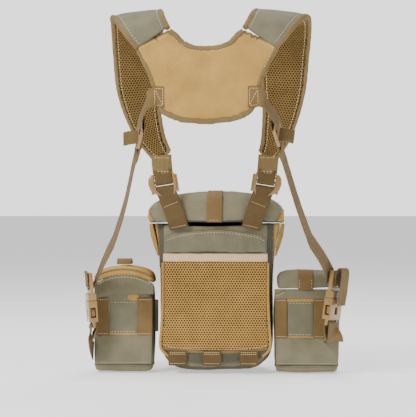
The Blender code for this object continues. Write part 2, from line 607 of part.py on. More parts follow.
def build_side_straps():
    for side in "lr":
        s = mirror(side)
        axis = Vector((s * YOKE_LOCK_AXIS[0], YOKE_LOCK_AXIS[1], YOKE_LOCK_AXIS[2]))
        lock = lock_place(YOKE_LOCK[side], axis, (s * 1.0, -0.25, 0.15))
        across = lock.to_3x3() @ Vector((1.0, 0.0, 0.0))
        carved(f"yoke_lock_{side}", [(-16.0, 16.0, -1.8, 1.8, -11.0, 11.5)],
               [(-12.9, 12.9, -2.0, 2.0, -8.0, -3.0), (-12.9, 12.9, -2.0, 2.0, 3.2, 8.4)],
               "acetal", lock, 0.5)

        # sewn tab on the yoke that holds the lock
        yx = s * 46.5
        tab = [(yx, yoke_y(yx, 240.5) - 4.7, 240.5), (s * 52.0, yoke_y(52.0, 240.5) - 4.8, 240.5),
               (s * 58.0, yoke_y(58.0, 240.0) - 4.9, 239.5), (s * 64.5, -233.0, 236.0),
               (s * 69.0, -226.0, 229.5)]
        up = [lock @ Vector((0.0, -2.6, 17.5)), lock @ Vector((0.0, -2.9, 13.0))]
        turn = [lock @ Vector((p[0], -p[1], p[2])) for p in bar_turn(2.9, 9.2, 0.0, -180.0)]
        back = [lock @ Vector((0.0, 2.9, 13.0)), lock @ Vector((0.0, 2.9, 16.5))]
        path = [tuple(p) for p in tab + up + turn + back]
        ways = [Vector((s * -0.25, 0.0, 1.0))] * 3
        ways += [Vector((s * -0.2, 0.35, 0.9)), Vector((s * -0.1, 0.6, 0.75))]
        sign = 1.0 if across.z > 0 else -1.0
        ways += [across * sign] * (len(path) - len(ways))
        ribbon(f"yoke_web_{side}", path, ways, WEB_25 - 1.4, WEB_T, "webbing")

        # side strap: free tail, turn about the lock's lower bar, keeper, long run, buckle
        plug = buckle_place(side)
        wide = plug.to_3x3() @ Vector((1.0, 0.0, 0.0))
        if wide.dot(across) < 0:
            wide = -wide
        tail = [lock @ Vector((0.0, -16.5, -12.0)), lock @ Vector((0.0, -11.0, -9.0)),
                lock @ Vector((0.0, -5.4, -6.9))]
        through = [lock @ Vector((0.0, y, z)) for y, z in (
            (-2.6, -5.9), (0.0, -5.5), (2.6, -6.1), (4.2, -8.2), (4.0, -13.0), (2.6, -18.0))]
        run = [Vector(p) for p in reversed(SIDE_RUN[side])]
        entry = [plug @ Vector((0.0, y, z)) for y, z in (
            (11.5, 31.0), (6.6, 23.0), (4.4, 18.6), (2.4, 16.6), (0.0, 16.1), (-2.3, 16.7),
            (-3.5, 18.6), (-3.6, 22.0), (-3.6, 27.0))]
        if side == "l":
            end = [plug @ Vector((0.0, y, z)) for y, z in ((-3.7, 32.0), (-4.4, 38.0))]
        else:
            end = [plug @ Vector((0.0, y, z)) for y, z in (
                (-3.8, 32.0), (-5.2, 36.5), (-8.2, 38.6), (-10.8, 36.0), (-11.8, 30.0),
                (-12.0, 14.0), (-11.4, -8.0))]
        coarse = [tuple(p) for p in through[-1:] + run + entry[:1]]
        long_run = spline(coarse, 4)[1:-1]
        path = [tuple(p) for p in tail + through] + long_run + [tuple(p) for p in entry + end]
        head = len(tail) + len(through)
        foot = len(entry) + len(end)
        ways = []
        for i in range(len(path)):
            if i < head:
                k = 0.0
            elif i >= len(path) - foot:
                k = 1.0
            else:
                k = (i - head) / (len(path) - foot - head)
                k = max(0.0, min(1.0, (k - 0.35) / 0.65)) ** 1.5
            ways.append(across.lerp(wide, k).normalized())
        ribbon(f"side_strap_{side}", path, ways, WEB_25 - 1.0, WEB_T, "webbing")

        # keeper: a short sleeve round the strap below the lock
        start = Vector(through[-1])
        heading = (run[0] - start).normalized()
        frame = lock_place(start + heading * 9.0, -heading, lock.to_3x3() @ Vector((0, -1, 0)))
        rings = []
        for z0, x, y in ((-9.5, 15.2, 3.0), (9.5, 15.2, 3.0), (9.5, 13.4, 1.7), (-9.5, 13.4, 1.7)):
            rings.append([frame @ Vector((-x, -y, z0)), frame @ Vector((x, -y, z0)),
                          frame @ Vector((x, y, z0)), frame @ Vector((-x, y, z0))])
        loft(f"strap_keeper_{side}", rings, "webbing", ring_closed=True)

        # webbing tab that ties the socket to its pouch
        bar = [plug @ Vector(p) for p in bar_turn(3.1, -32.6, 180.0, 0.0)]
        bar = [plug @ Vector((0.0, -3.2, -36.0))] + bar + [plug @ Vector((0.0, 3.2, -36.0))]
        if side == "l":
            lead = [Vector((-158.2, 21.0, -68.0)), Vector((-158.2, 9.0, -62.5)),
                    Vector((-158.3, -2.0, -56.5)), Vector((-158.4, -10.5, -49.0)),
                    Vector((-158.0, -14.6, -42.0))]
            rear = [Vector((-152.4, -14.6, -40.5)), Vector((-155.0, -12.6, -47.0))]
            ways = [Vector((0.0, 0.45, 0.9)), Vector((0.0, 0.55, 0.83)), Vector((0.0, 0.75, 0.6)),
                    Vector((0.0, 0.9, 0.4)), Vector((0.0, 0.97, 0.2))]
        else:
            lead = [Vector((150.4, 6.6, -53.0)), Vector((150.2, 0.5, -51.5)),
                    Vector((149.6, -8.0, -47.0)), Vector((148.0, -14.0, -40.0))]
            rear = [Vector((141.6, -14.5, -38.5)), Vector((143.8, -12.5, -44.5))]
            ways = [Vector((0.98, 0.1, 0.0)), Vector((0.9, 0.35, 0.1)), Vector((0.7, 0.7, 0.1)),
                    Vector((0.5, 0.85, 0.0))]
        if wide.y < 0:
            wide = -wide
        path = [tuple(p) for p in lead + bar + rear]
        ways = ways + [wide] * (len(path) - len(ways))
        ribbon(f"socket_tab_{side}", path, ways, WEB_25 - 1.0, WEB_T, "webbing")


def main():
    for obj in list(bpy.data.objects):
        bpy.data.objects.remove(obj, do_unlink=True)
    build_pack()
    build_pouches()
    build_yoke()
    build_straps()
    build_chest_side()
    build_buckles()
    build_side_straps()


main()
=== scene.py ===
"""The looks of the binocular harness pack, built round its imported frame.

Lengths are in millimetres until a mesh is made, in the frame's own directions: +Z is up, and
the wearer stands at -Y. Straps follow the stations read from their nodes in the frame.
"""
import json
import math

import bmesh
import bpy
import numpy as np
from mathutils import Matrix, Vector, noise
from mathutils.bvhtree import BVHTree
from mathutils.kdtree import KDTree

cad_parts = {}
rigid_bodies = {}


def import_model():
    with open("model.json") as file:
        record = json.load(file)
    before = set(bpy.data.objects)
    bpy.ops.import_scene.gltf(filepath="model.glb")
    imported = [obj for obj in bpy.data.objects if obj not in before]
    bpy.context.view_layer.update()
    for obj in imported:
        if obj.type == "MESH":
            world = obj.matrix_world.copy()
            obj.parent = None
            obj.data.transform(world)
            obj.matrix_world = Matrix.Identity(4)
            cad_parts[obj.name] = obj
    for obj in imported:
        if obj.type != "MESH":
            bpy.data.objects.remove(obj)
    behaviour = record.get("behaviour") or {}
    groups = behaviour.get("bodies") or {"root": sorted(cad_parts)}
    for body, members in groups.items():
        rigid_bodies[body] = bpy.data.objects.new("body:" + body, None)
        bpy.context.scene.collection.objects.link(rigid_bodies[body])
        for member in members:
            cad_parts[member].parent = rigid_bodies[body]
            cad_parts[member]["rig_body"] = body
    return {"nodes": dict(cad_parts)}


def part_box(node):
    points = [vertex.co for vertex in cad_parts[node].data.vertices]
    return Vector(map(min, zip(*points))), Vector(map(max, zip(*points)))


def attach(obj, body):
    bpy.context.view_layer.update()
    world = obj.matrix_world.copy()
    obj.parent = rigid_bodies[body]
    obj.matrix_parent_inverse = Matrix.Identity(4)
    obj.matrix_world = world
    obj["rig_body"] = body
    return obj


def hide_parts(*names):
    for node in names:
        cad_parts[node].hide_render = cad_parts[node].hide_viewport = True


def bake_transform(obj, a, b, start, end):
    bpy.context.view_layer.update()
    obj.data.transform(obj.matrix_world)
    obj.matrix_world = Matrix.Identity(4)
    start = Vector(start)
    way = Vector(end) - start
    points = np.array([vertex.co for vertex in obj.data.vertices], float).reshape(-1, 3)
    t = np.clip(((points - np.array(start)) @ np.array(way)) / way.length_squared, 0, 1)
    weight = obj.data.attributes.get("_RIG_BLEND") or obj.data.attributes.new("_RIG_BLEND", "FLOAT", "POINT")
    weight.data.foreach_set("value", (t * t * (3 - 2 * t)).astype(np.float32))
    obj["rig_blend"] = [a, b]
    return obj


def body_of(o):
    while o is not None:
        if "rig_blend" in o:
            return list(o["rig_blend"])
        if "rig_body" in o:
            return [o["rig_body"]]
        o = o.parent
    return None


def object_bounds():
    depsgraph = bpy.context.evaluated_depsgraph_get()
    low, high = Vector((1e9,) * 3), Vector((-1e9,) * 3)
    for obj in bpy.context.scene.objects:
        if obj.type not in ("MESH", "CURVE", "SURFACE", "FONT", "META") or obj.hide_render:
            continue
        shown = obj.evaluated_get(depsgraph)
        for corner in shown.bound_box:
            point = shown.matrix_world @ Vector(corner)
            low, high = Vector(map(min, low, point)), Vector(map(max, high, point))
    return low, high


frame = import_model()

CAD_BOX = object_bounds()
CAMERA_AT = (0.082, -1.898, 0.116)   # metres
CAMERA_TURN = math.radians(2.75)
LENS = 129.46
FLOOR_REACH = 40.0                   # metres
NODES = frame["nodes"]
MM = 0.001
BACK = Vector((0.0, -1.0, 0.0))      # towards the wearer and the camera
FRONT = Vector((0.0, 1.0, 0.0))
UP = Vector((0.0, 0.0, 1.0))
SIDES = ("l", "r")


def mirror(side):
    return -1.0 if side == "l" else 1.0


def box(node):
    """Lowest and highest corners of a node, in millimetres."""
    low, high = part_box(node)
    return Vector(low) / MM, Vector(high) / MM


# ---------------------------------------------------------------- materials

def start_material(name, rough, sheen=0.0, metal=0.0, coat=0.0, specular=0.2):
    mat = bpy.data.materials.new(name)
    mat.use_nodes = True
    shader = mat.node_tree.nodes["Principled BSDF"]
    shader.inputs["Roughness"].default_value = rough
    shader.inputs["Metallic"].default_value = metal
    shader.inputs["Sheen Weight"].default_value = sheen
    shader.inputs["Sheen Roughness"].default_value = 0.5
    shader.inputs["Coat Weight"].default_value = coat
    shader.inputs["Coat Roughness"].default_value = 0.15
    shader.inputs["Specular IOR Level"].default_value = specular
    return mat, mat.node_tree, shader


def node(tree, kind, **inputs):
    """A shader node with its named inputs set or linked."""
    made = tree.nodes.new(kind)
    for key, value in inputs.items():
        socket = made.inputs[int(key[1:])] if key[0] == "i" and key[1:].isdigit() else made.inputs[key]
        if isinstance(value, bpy.types.NodeSocket):
            tree.links.new(value, socket)
        else:
            socket.default_value = value
    return made


def maths(tree, operation, a, b=0.0, c=0.0):
    made = node(tree, "ShaderNodeMath", i0=a, i1=b, i2=c)
    made.operation = operation
    return made.outputs[0]


def place(tree):
    return tree.nodes.new("ShaderNodeTexCoord").outputs["Object"]


def noise_map(tree, scale, detail=3.0, rough=0.55, vector=None):
    made = node(tree, "ShaderNodeTexNoise", Scale=scale, Detail=detail, Roughness=rough,
                Vector=vector if vector else place(tree))
    return made.outputs["Fac"]


def ramp(tree, factor, stops):
    made = node(tree, "ShaderNodeValToRGB", Fac=factor)
    elements = made.color_ramp.elements
    for element, (at, rgb) in zip(elements, stops):
        element.position = at
        element.color = (*rgb, 1.0)
    for at, rgb in stops[2:]:
        elements.new(at).color = (*rgb, 1.0)
    return made.outputs["Color"]


def shade(rgb, factor):
    return tuple(min(1.0, c * factor) for c in rgb)


def bump(tree, shader, layers):
    """Bump layers, coarse to fine: height socket, strength, depth in metres."""
    normal = None
    for height, strength, depth in layers:
        made = node(tree, "ShaderNodeBump", Height=height, Strength=strength, Distance=depth)
        if normal:
            tree.links.new(normal, made.inputs["Normal"])
        normal = made.outputs["Normal"]
    tree.links.new(normal, shader.inputs["Normal"])


def darken(tree, colour, factor, low, high):
    """Multiply a colour by a value that runs from low to high with factor."""
    grey = ramp(tree, factor, ((0.25, (low,) * 3), (0.75, (high,) * 3)))
    made = tree.nodes.new("ShaderNodeMix")
    made.data_type = "RGBA"
    made.blend_type = "MULTIPLY"
    made.inputs["Factor"].default_value = 1.0
    tree.links.new(colour, made.inputs["A"])
    tree.links.new(grey, made.inputs["B"])
    return made.outputs["Result"]


def weave_height(tree, pitch):
    """Over-and-under threads of a plain weave, from the object's own coordinates."""
    xyz = node(tree, "ShaderNodeSeparateXYZ", Vector=place(tree))
    turns = 2.0 * math.pi / (pitch * MM)
    slant = maths(tree, "ADD", xyz.outputs["X"], xyz.outputs["Y"])
    across = maths(tree, "SINE", maths(tree, "MULTIPLY", slant, turns))
    up = maths(tree, "SINE", maths(tree, "MULTIPLY", xyz.outputs["Z"], turns))
    return maths(tree, "MULTIPLY_ADD", maths(tree, "MULTIPLY", across, up), 0.5, 0.5)


def fabric(name, rgb, pitch=1.1, rough=0.86, sheen=0.08, nap=0.5, spread=0.13):
    """Woven cloth: thread, nap, slight fading and soft mottling."""
    mat, tree, shader = start_material(name, rough, sheen=sheen)
    shader.inputs["Sheen Tint"].default_value = (*shade(rgb, 1.6), 1.0)
    weave = weave_height(tree, pitch)
    mottle = noise_map(tree, 45.0, 4.0)
    fuzz = noise_map(tree, 900.0, 2.0, 0.7)
    colour = ramp(tree, mottle, ((0.3, shade(rgb, 1 - spread)), (0.7, shade(rgb, 1 + spread))))
    colour = darken(tree, colour, weave, 0.90, 1.04)
    colour = darken(tree, colour, fuzz, 1 - 0.14 * nap, 1 + 0.10 * nap)
    tree.links.new(colour, shader.inputs["Base Color"])
    wear = ramp(tree, mottle, ((0.35, (rough + 0.05,) * 3), (0.65, (rough - 0.06,) * 3)))
    tree.links.new(wear, shader.inputs["Roughness"])
    bump(tree, shader, ((mottle, 0.25, 0.0012), (weave, 0.35, 0.0003), (fuzz, 0.5 * nap, 0.0004)))
    return mat


def ribbed(name, rgb, pitch=1.7, chevron=4.2, rough=0.74, spread=0.12):
    """Webbing: a herringbone of fat threads that runs along the strap, with firm edges."""
    mat, tree, shader = start_material(name, rough, sheen=0.05)
    strip = tree.nodes.new("ShaderNodeAttribute")
    strip.attribute_name = "strip"
    xyz = node(tree, "ShaderNodeSeparateXYZ", Vector=strip.outputs["Vector"])
    fold = maths(tree, "PINGPONG", xyz.outputs["X"], chevron / 2)
    slant = maths(tree, "MULTIPLY_ADD", fold, 0.9, xyz.outputs["Y"])
    rib = maths(tree, "SINE", maths(tree, "MULTIPLY", slant, 2.0 * math.pi / pitch))
    rib = maths(tree, "MULTIPLY_ADD", rib, 0.5, 0.5)
    line = maths(tree, "SINE", maths(tree, "MULTIPLY", xyz.outputs["X"], 4.0 * math.pi / chevron))
    line = maths(tree, "MULTIPLY_ADD", line, 0.5, 0.5)
    mottle = noise_map(tree, 60.0, 3.0)
    fuzz = noise_map(tree, 1300.0, 2.0, 0.7)
    colour = ramp(tree, mottle, ((0.3, shade(rgb, 1 - spread)), (0.7, shade(rgb, 1 + spread))))
    colour = darken(tree, colour, rib, 0.78, 1.08)
    colour = darken(tree, colour, line, 0.92, 1.04)
    colour = darken(tree, colour, fuzz, 0.90, 1.08)
    tree.links.new(colour, shader.inputs["Base Color"])
    bump(tree, shader, ((line, 0.25, 0.0003), (rib, 0.7, 0.0004), (fuzz, 0.3, 0.0002)))
    return mat


def moulded(name, rgb, rough=0.34):
    """Glossy acetal with faint flow marks and fine scuffs."""
    mat, tree, shader = start_material(name, rough, coat=0.35, specular=0.5)
    flow = noise_map(tree, 30.0, 2.0)
    scuff = noise_map(tree, 700.0, 4.0, 0.75)
    colour = ramp(tree, flow, ((0.3, shade(rgb, 0.93)), (0.7, shade(rgb, 1.07))))
    tree.links.new(darken(tree, colour, scuff, 0.95, 1.03), shader.inputs["Base Color"])
    gloss = ramp(tree, scuff, ((0.35, (rough - 0.06,) * 3), (0.7, (rough + 0.14,) * 3)))
    tree.links.new(gloss, shader.inputs["Roughness"])
    bump(tree, shader, ((flow, 0.12, 0.0006), (scuff, 0.10, 0.0001)))
    return mat


def thread(name, rgb):
    """Twisted sewing thread."""
    mat, tree, shader = start_material(name, 0.6, sheen=0.2)
    twist = noise_map(tree, 1800.0, 1.0)
    tree.links.new(ramp(tree, twist, ((0.3, shade(rgb, 0.8)), (0.7, shade(rgb, 1.15)))),
                   shader.inputs["Base Color"])
    bump(tree, shader, ((twist, 0.4, 0.0001),))
    return mat


def gathered(name, rgb):
    """Ribbed elastic: fine cords up and down, slightly puckered."""
    mat, tree, shader = start_material(name, 0.72, sheen=0.3)
    xyz = node(tree, "ShaderNodeSeparateXYZ", Vector=place(tree))
    cords = maths(tree, "SINE", maths(tree, "MULTIPLY", xyz.outputs["X"], 2.0 * math.pi / 0.0016))
    rows = maths(tree, "SINE", maths(tree, "MULTIPLY", xyz.outputs["Z"], 2.0 * math.pi / 0.0011))
    cords = maths(tree, "MULTIPLY_ADD", cords, 0.5, 0.5)
    rows = maths(tree, "MULTIPLY_ADD", rows, 0.5, 0.5)
    mottle = noise_map(tree, 90.0, 3.0)
    colour = ramp(tree, mottle, ((0.3, shade(rgb, 0.93)), (0.7, shade(rgb, 1.05))))
    colour = darken(tree, colour, cords, 0.86, 1.04)
    tree.links.new(darken(tree, colour, rows, 0.93, 1.03), shader.inputs["Base Color"])
    bump(tree, shader, ((mottle, 0.3, 0.001), (cords, 0.6, 0.0004), (rows, 0.3, 0.0002)))
    return mat


def metal(name, rgb):
    mat, tree, shader = start_material(name, 0.35, metal=0.9)
    scratch = noise_map(tree, 400.0, 3.0, 0.7)
    tree.links.new(ramp(tree, scratch, ((0.3, shade(rgb, 0.85)), (0.7, shade(rgb, 1.1)))),
                   shader.inputs["Base Color"])
    tree.links.new(ramp(tree, scratch, ((0.3, (0.3,) * 3), (0.7, (0.48,) * 3))),
                   shader.inputs["Roughness"])
    bump(tree, shader, ((scratch, 0.2, 0.0001),))
    return mat


GREY = fabric("grey_cloth", (0.185, 0.168, 0.104))
GREY_PAD = fabric("grey_padded_cloth", (0.155, 0.143, 0.092), pitch=1.3)
# A darker copy of the grey cloth: painted shade on the pack body away from the wearer's side and on the
# bottom band; the lid's rim binding and the front pocket's zip tape use it too.
GREY_PAINTED_SHADE_AND_TRIM = fabric("grey_cloth_painted_shade_and_trim", (0.085, 0.078, 0.052), pitch=1.1)
SUEDE = fabric("tan_suede", (0.42, 0.250, 0.066), pitch=0.7, nap=1.0, sheen=0.12, rough=0.9)
BINDING = fabric("tan_binding", (0.190, 0.128, 0.052), pitch=0.9, nap=0.8, rough=0.84)
WEBBING = ribbed("webbing_tan", (0.185, 0.114, 0.040))
WEB_DARK = ribbed("webbing_brown", (0.120, 0.075, 0.027))
NET = fabric("air_mesh_gold", (0.48, 0.275, 0.070), pitch=0.8, nap=0.7, rough=0.8)
# A darker copy of the gold air mesh, painted shade for the mesh on the shoulder straps' inner side.
NET_PAINTED_SHADE = fabric("air_mesh_gold_painted_shade", (0.185, 0.110, 0.030), pitch=0.8, nap=0.7, rough=0.85)
# Near-black backing: painted shade seen through the air mesh's holes and on the shoulder pads' inner face.
NET_BACKING_PAINTED_SHADE = fabric("air_mesh_backing_painted_shade", (0.030, 0.020, 0.008), pitch=0.8)
ELASTIC = gathered("peach_elastic", (0.74, 0.52, 0.32))
ACETAL = moulded("tan_acetal", (0.27, 0.152, 0.042))
ZINC = metal("zinc", (0.20, 0.18, 0.15))
CORD = thread("dark_cord", (0.05, 0.042, 0.032))
THREAD = thread("gold_thread", (0.66, 0.50, 0.27))
THREAD_GREY = thread("grey_thread", (0.40, 0.37, 0.28))


# ---------------------------------------------------------------- mesh helpers

def settle(name, bm, mat, rides, stands_for=(), sharp=50.0):
    """Turn a bmesh in millimetres into a piece that rides on the body of the node rides."""
    bmesh.ops.recalc_face_normals(bm, faces=bm.faces)
    bmesh.ops.scale(bm, vec=Vector((MM, MM, MM)), verts=bm.verts)
    mesh = bpy.data.meshes.new(name)
    bm.to_mesh(mesh)
    bm.free()
    obj = bpy.data.objects.new(name, mesh)
    bpy.context.scene.collection.objects.link(obj)
    return dress(obj, mat, rides, stands_for, sharp)


def dress(obj, mat, rides, stands_for=(), sharp=50.0):
    """Smooth shading, material, body and the nodes that the piece stands for."""
    mesh = obj.data
    mesh.materials.clear()
    for one in mat if isinstance(mat, (list, tuple)) else [mat]:
        mesh.materials.append(one)
    for poly in mesh.polygons:
        poly.use_smooth = True
    mesh.set_sharp_from_angle(angle=math.radians(sharp))
    if rides:
        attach(obj, body_of(NODES[rides])[0])
    if stands_for:
        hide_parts(*stands_for)
    return obj


def loft(rings, coords=None, cap=True, loop=False):
    """Faces through rings of equal point count; coords become the strip attribute."""
    bm = bmesh.new()
    layer = bm.verts.layers.float_vector.new("strip") if coords else None
    layers = []
    for n, ring in enumerate(rings):
        row = []
        for k, point in enumerate(ring):
            vert = bm.verts.new(point)
            if coords:
                vert[layer] = coords[n][k]
            row.append(vert)
        layers.append(row)
    count = len(rings[0])
    pairs = list(zip(layers, layers[1:]))
    if loop:
        pairs.append((layers[-1], layers[0]))
    for low, high in pairs:
        for i in range(count):
            j = (i + 1) % count
            bm.faces.new((low[i], low[j], high[j], high[i]))
    if cap and not loop:
        bm.faces.new(layers[0][::-1])
        bm.faces.new(layers[-1])
    return bm


def spline(points, step):
    """Catmull-Rom curve through the points, with a sample about every step."""
    points = [np.array(p, float) for p in points]
    out = []
    last = len(points) - 1
    for i in range(last):
        a, b, c, d = (points[max(i - 1, 0)], points[i], points[i + 1], points[min(i + 2, last)])
        parts = max(1, int(round(np.linalg.norm((c - b)[:3]) / step)))
        for k in range(parts):
            t = k / parts
            out.append(0.5 * (2 * b + (c - a) * t + (2 * a - 5 * b + 4 * c - d) * t * t
                              + (3 * b - a - 3 * c + d) * t ** 3))
    out.append(points[-1])
    return out


def arc_steps(path, step):
    """Samples at an even distance along a polyline."""
    path = np.array([tuple(p) for p in path], float)
    length = np.r_[0.0, np.cumsum(np.linalg.norm(np.diff(path, axis=0), axis=1))]
    count = max(2, int(round(length[-1] / step)) + 1)
    at = np.linspace(0.0, length[-1], count)
    return [Vector([float(np.interp(s, length, path[:, k])) for k in range(3)]) for s in at]


def rings_of(name, size):
    """The cross-sections of a lofted node, from one end cap to the other."""
    bm = bmesh.new()
    bm.from_mesh(NODES[name].data)
    bmesh.ops.remove_doubles(bm, verts=bm.verts, dist=2e-6)
    best = []
    tried = set()
    for face in bm.faces:
        if face in tried:
            continue
        group, stack = {face}, [face]
        while stack:
            here = stack.pop()
            for edge in here.edges:
                for other in edge.link_faces:
                    if other not in group and here.normal.angle(other.normal, 1.0) < 0.02:
                        group.add(other)
                        stack.append(other)
        tried |= group
        ring = {v for f in group for v in f.verts}
        if len(ring) != size:
            continue
        seen, found = set(ring), [ring]
        while len(ring) == size:
            ring = {e.other_vert(v) for v in ring for e in v.link_edges} - seen
            seen |= ring
            if ring:
                found.append(ring)
        if not ring and len(found) > len(best):
            best = found
    out = [np.array([v.co / MM for v in ring]) for ring in best]
    bm.free()
    return out


def stations(name, size=4, toward=UP):
    """Centre, across, width and thickness along a strap, its first end furthest towards."""
    rings = rings_of(name, size)
    if (rings[0].mean(0) - rings[-1].mean(0)) @ np.array(toward) < 0:
        rings.reverse()
    out = []
    before = None
    for ring in rings:
        centre = ring.mean(0)
        axes = np.linalg.svd(ring - centre)[2]
        across = axes[0] if before is None or axes[0] @ before >= 0 else -axes[0]
        before = across
        spans = [np.ptp((ring - centre) @ axis) for axis in axes[:2]]
        out.append(np.r_[centre, across, spans])
    return out


def line_of(name, size=4, step=2.0, toward=UP):
    """A strap's smooth line: centre, across, face, width, thickness and distance along."""
    samples = spline(stations(name, size, toward), step)
    out = []
    along = 0.0
    last = len(samples) - 1
    for i, s in enumerate(samples):
        centre = Vector(s[:3])
        if i:
            along += (centre - Vector(samples[i - 1][:3])).length
        tangent = (Vector(samples[min(i + 1, last)][:3])
                   - Vector(samples[max(i - 1, 0)][:3])).normalized()
        across = Vector(s[3:6])
        across = (across - tangent * across.dot(tangent)).normalized()
        face = across.cross(tangent)
        if out and face.dot(out[-1][2]) < 0:
            face = -face
        out.append((centre, across, face, float(s[6]), float(s[7]), along))
    return out


# half section of a woven strap: share of the half width, share of the half thickness
SELVEDGE = ((-1.0, 0.0), (-0.985, 0.6), (-0.93, 1.0), (-0.80, 0.92), (-0.40, 0.96), (0.0, 0.98),
            (0.40, 0.96), (0.80, 0.92), (0.93, 1.0), (0.985, 0.6))


def full_section(half):
    return list(half) + [(-u, -v) for u, v in half]


def extended(line, start=0.0, end=0.0):
    """A strap's line run on straight at either end."""
    out = list(line)
    if start:
        centre, across, face, width, thick, along = out[0]
        step = (centre - out[1][0]).normalized() * start
        out.insert(0, (centre + step, across, face, width, thick, along - start))
    if end:
        centre, across, face, width, thick, along = out[-1]
        step = (centre - out[-2][0]).normalized() * end
        out.append((centre + step, across, face, width, thick, along + end))
    return out


def sweep(name, line, mat, rides, slot, stands_for=(), section=None, grow=(0.0, 0.0), wave=0.12,
          seed=0.0):
    """A strap of a given section along a line, with a slight wander of its faces."""
    section = section or full_section(SELVEDGE)
    rings, coords = [], []
    for centre, across, face, width, thick, along in line:
        ring, row = [], []
        half, depth = width / 2 + grow[0], thick / 2 + grow[1]
        for u, v in section:
            sway = wave * noise.noise(Vector((u * 1.3 + seed, along / 11.0, seed)))
            ring.append(centre + across * (u * half) + face * (v * depth + sway))
            row.append((u * half, along, v))
        rings.append(ring)
        coords.append(row)
    return settle(name, loft(rings, coords), mat, rides, stands_for)


def webbing(name, mat=None, slot="webbing", step=2.0, toward=UP, more=(0.0, 0.0), **shape):
    """Replace a ribbon node with a woven strap along the same line."""
    line = line_of(name, step=step, toward=toward)
    obj = sweep(f"{name}.woven", extended(line, *more), mat or WEBBING, name, slot, (name,), **shape)
    return obj, line


class Skin:
    """Where a line drawn from outside meets the surface of some pieces."""

    def __init__(self, *objs):
        verts, polys = [], []
        for obj in objs:
            start = len(verts)
            verts += [v.co / MM for v in obj.data.vertices]
            polys += [[start + i for i in p.vertices] for p in obj.data.polygons]
        self.tree = BVHTree.FromPolygons(verts, polys)

    def at(self, point, toward, lift=0.0):
        toward = Vector(toward).normalized()
        hit, normal, _, _ = self.tree.ray_cast(Vector(point) - toward * 60.0, toward)
        if hit is None:
            hit, normal, _, _ = self.tree.find_nearest(Vector(point))
        if normal.dot(toward) > 0:
            normal = -normal
        return hit + normal * lift, normal

    def near(self, point, lift=0.0):
        hit, normal, _, _ = self.tree.find_nearest(Vector(point))
        return hit + normal * lift, normal

    def trace(self, points, toward, step=1.5, lift=0.0):
        """Samples of a path laid on the surface: point and normal."""
        return [self.at(p, toward, lift) for p in arc_steps(spline(points, step), step)]


def stitches(name, samples, rides, mat=None, length=2.7, gap=1.3, radius=0.36, sunk=0.1):
    """A row of stitches: short fat spindles laid end to end on a traced line."""
    points = [p for p, _ in samples]
    normals = [n for _, n in samples]
    reach = [0.0]
    for a, b in zip(points, points[1:]):
        reach.append(reach[-1] + (b - a).length)

    def look(values, s):
        return Vector([float(np.interp(s, reach, [v[k] for v in values])) for k in range(3)])

    bm = bmesh.new()
    s = gap
    while s + length < reach[-1]:
        start, stop = look(points, s), look(points, s + length)
        normal = look(normals, s + length / 2).normalized()
        along = (stop - start).normalized()
        side = along.cross(normal).normalized()
        rows = []
        for share, size in ((0.0, 0.35), (0.18, 0.9), (0.5, 1.0), (0.82, 0.9), (1.0, 0.35)):
            centre = start.lerp(stop, share) - normal * (sunk + 0.25 * radius * (abs(share - 0.5) * 2))
            rows.append([bm.verts.new(centre + (side * math.cos(a) + normal * math.sin(a) * 0.8)
                                      * radius * size)
                         for a in (2 * math.pi * k / 6 for k in range(6))])
        for low, high in zip(rows, rows[1:]):
            for i in range(6):
                j = (i + 1) % 6
                bm.faces.new((low[i], low[j], high[j], high[i]))
        bm.faces.new(rows[0][::-1])
        bm.faces.new(rows[-1])
        s += length + gap
    return settle(name, bm, mat or THREAD, rides)


def roll(name, samples, width, height, mat, rides, pucker=0.12, sunk=0.4, closed=False):
    """A rolled binding or piping of half-oval section laid along a traced line."""
    rings, coords = [], []
    along = 0.0
    last = len(samples) - 1
    for i, (point, normal) in enumerate(samples):
        ahead = samples[(i + 1) % len(samples)] if closed else samples[min(i + 1, last)]
        behind = samples[i - 1] if closed else samples[max(i - 1, 0)]
        tangent = (ahead[0] - behind[0]).normalized()
        side = tangent.cross(normal).normalized()
        up = side.cross(tangent).normalized()
        if i:
            along += (point - samples[i - 1][0]).length
        swell = 1.0 + pucker * noise.noise(Vector((along / 3.5, width, height)))
        ring, row = [], []
        for k in range(12):
            a = 2 * math.pi * k / 12
            flat = 0.75 if math.sin(a) < 0 else 1.0
            ring.append(point + side * (math.cos(a) * width / 2 * (0.5 + 0.5 * swell))
                        + up * (math.sin(a) * height * swell * flat - sunk))
            row.append((k * 1.0, along, 0.0))
        rings.append(ring)
        coords.append(row)
    return settle(name, loft(rings, coords, loop=closed), mat, rides)


def refined(name, levels=2, quads=True):
    """An object whose mesh is the node's, welded and subdivided into a smooth cage."""
    bm = bmesh.new()
    bm.from_mesh(NODES[name].data)
    bmesh.ops.remove_doubles(bm, verts=bm.verts, dist=2e-6)
    if quads:
        bmesh.ops.join_triangles(bm, faces=bm.faces, angle_face_threshold=math.radians(50),
                                 angle_shape_threshold=math.radians(70))
    mesh = bpy.data.meshes.new(f"{name}.cage")
    bm.to_mesh(mesh)
    bm.free()
    obj = bpy.data.objects.new(f"{name}.soft", mesh)
    bpy.context.scene.collection.objects.link(obj)
    if levels:
        modifier = obj.modifiers.new("round", "SUBSURF")
        modifier.levels = modifier.render_levels = levels
        bake(obj)
    return obj


def soften(obj, width, segments=3, angle=25.0):
    """Round an object's hard edges."""
    modifier = obj.modifiers.new("round", "BEVEL")
    modifier.width = width * MM
    modifier.segments = segments
    modifier.limit_method = "ANGLE"
    modifier.angle_limit = math.radians(angle)
    bake(obj)


def voxelled(name, size):
    """An object whose mesh is the node's, remeshed evenly for cloth."""
    obj = refined(name, 0, quads=False)
    modifier = obj.modifiers.new("even", "REMESH")
    modifier.mode = "VOXEL"
    modifier.voxel_size = size * MM
    bake(obj)
    return obj


def bake(obj):
    """Apply an object's modifiers to its mesh."""
    graph = bpy.context.evaluated_depsgraph_get()
    mesh = bpy.data.meshes.new_from_object(obj.evaluated_get(graph))
    obj.modifiers.clear()
    obj.data = mesh


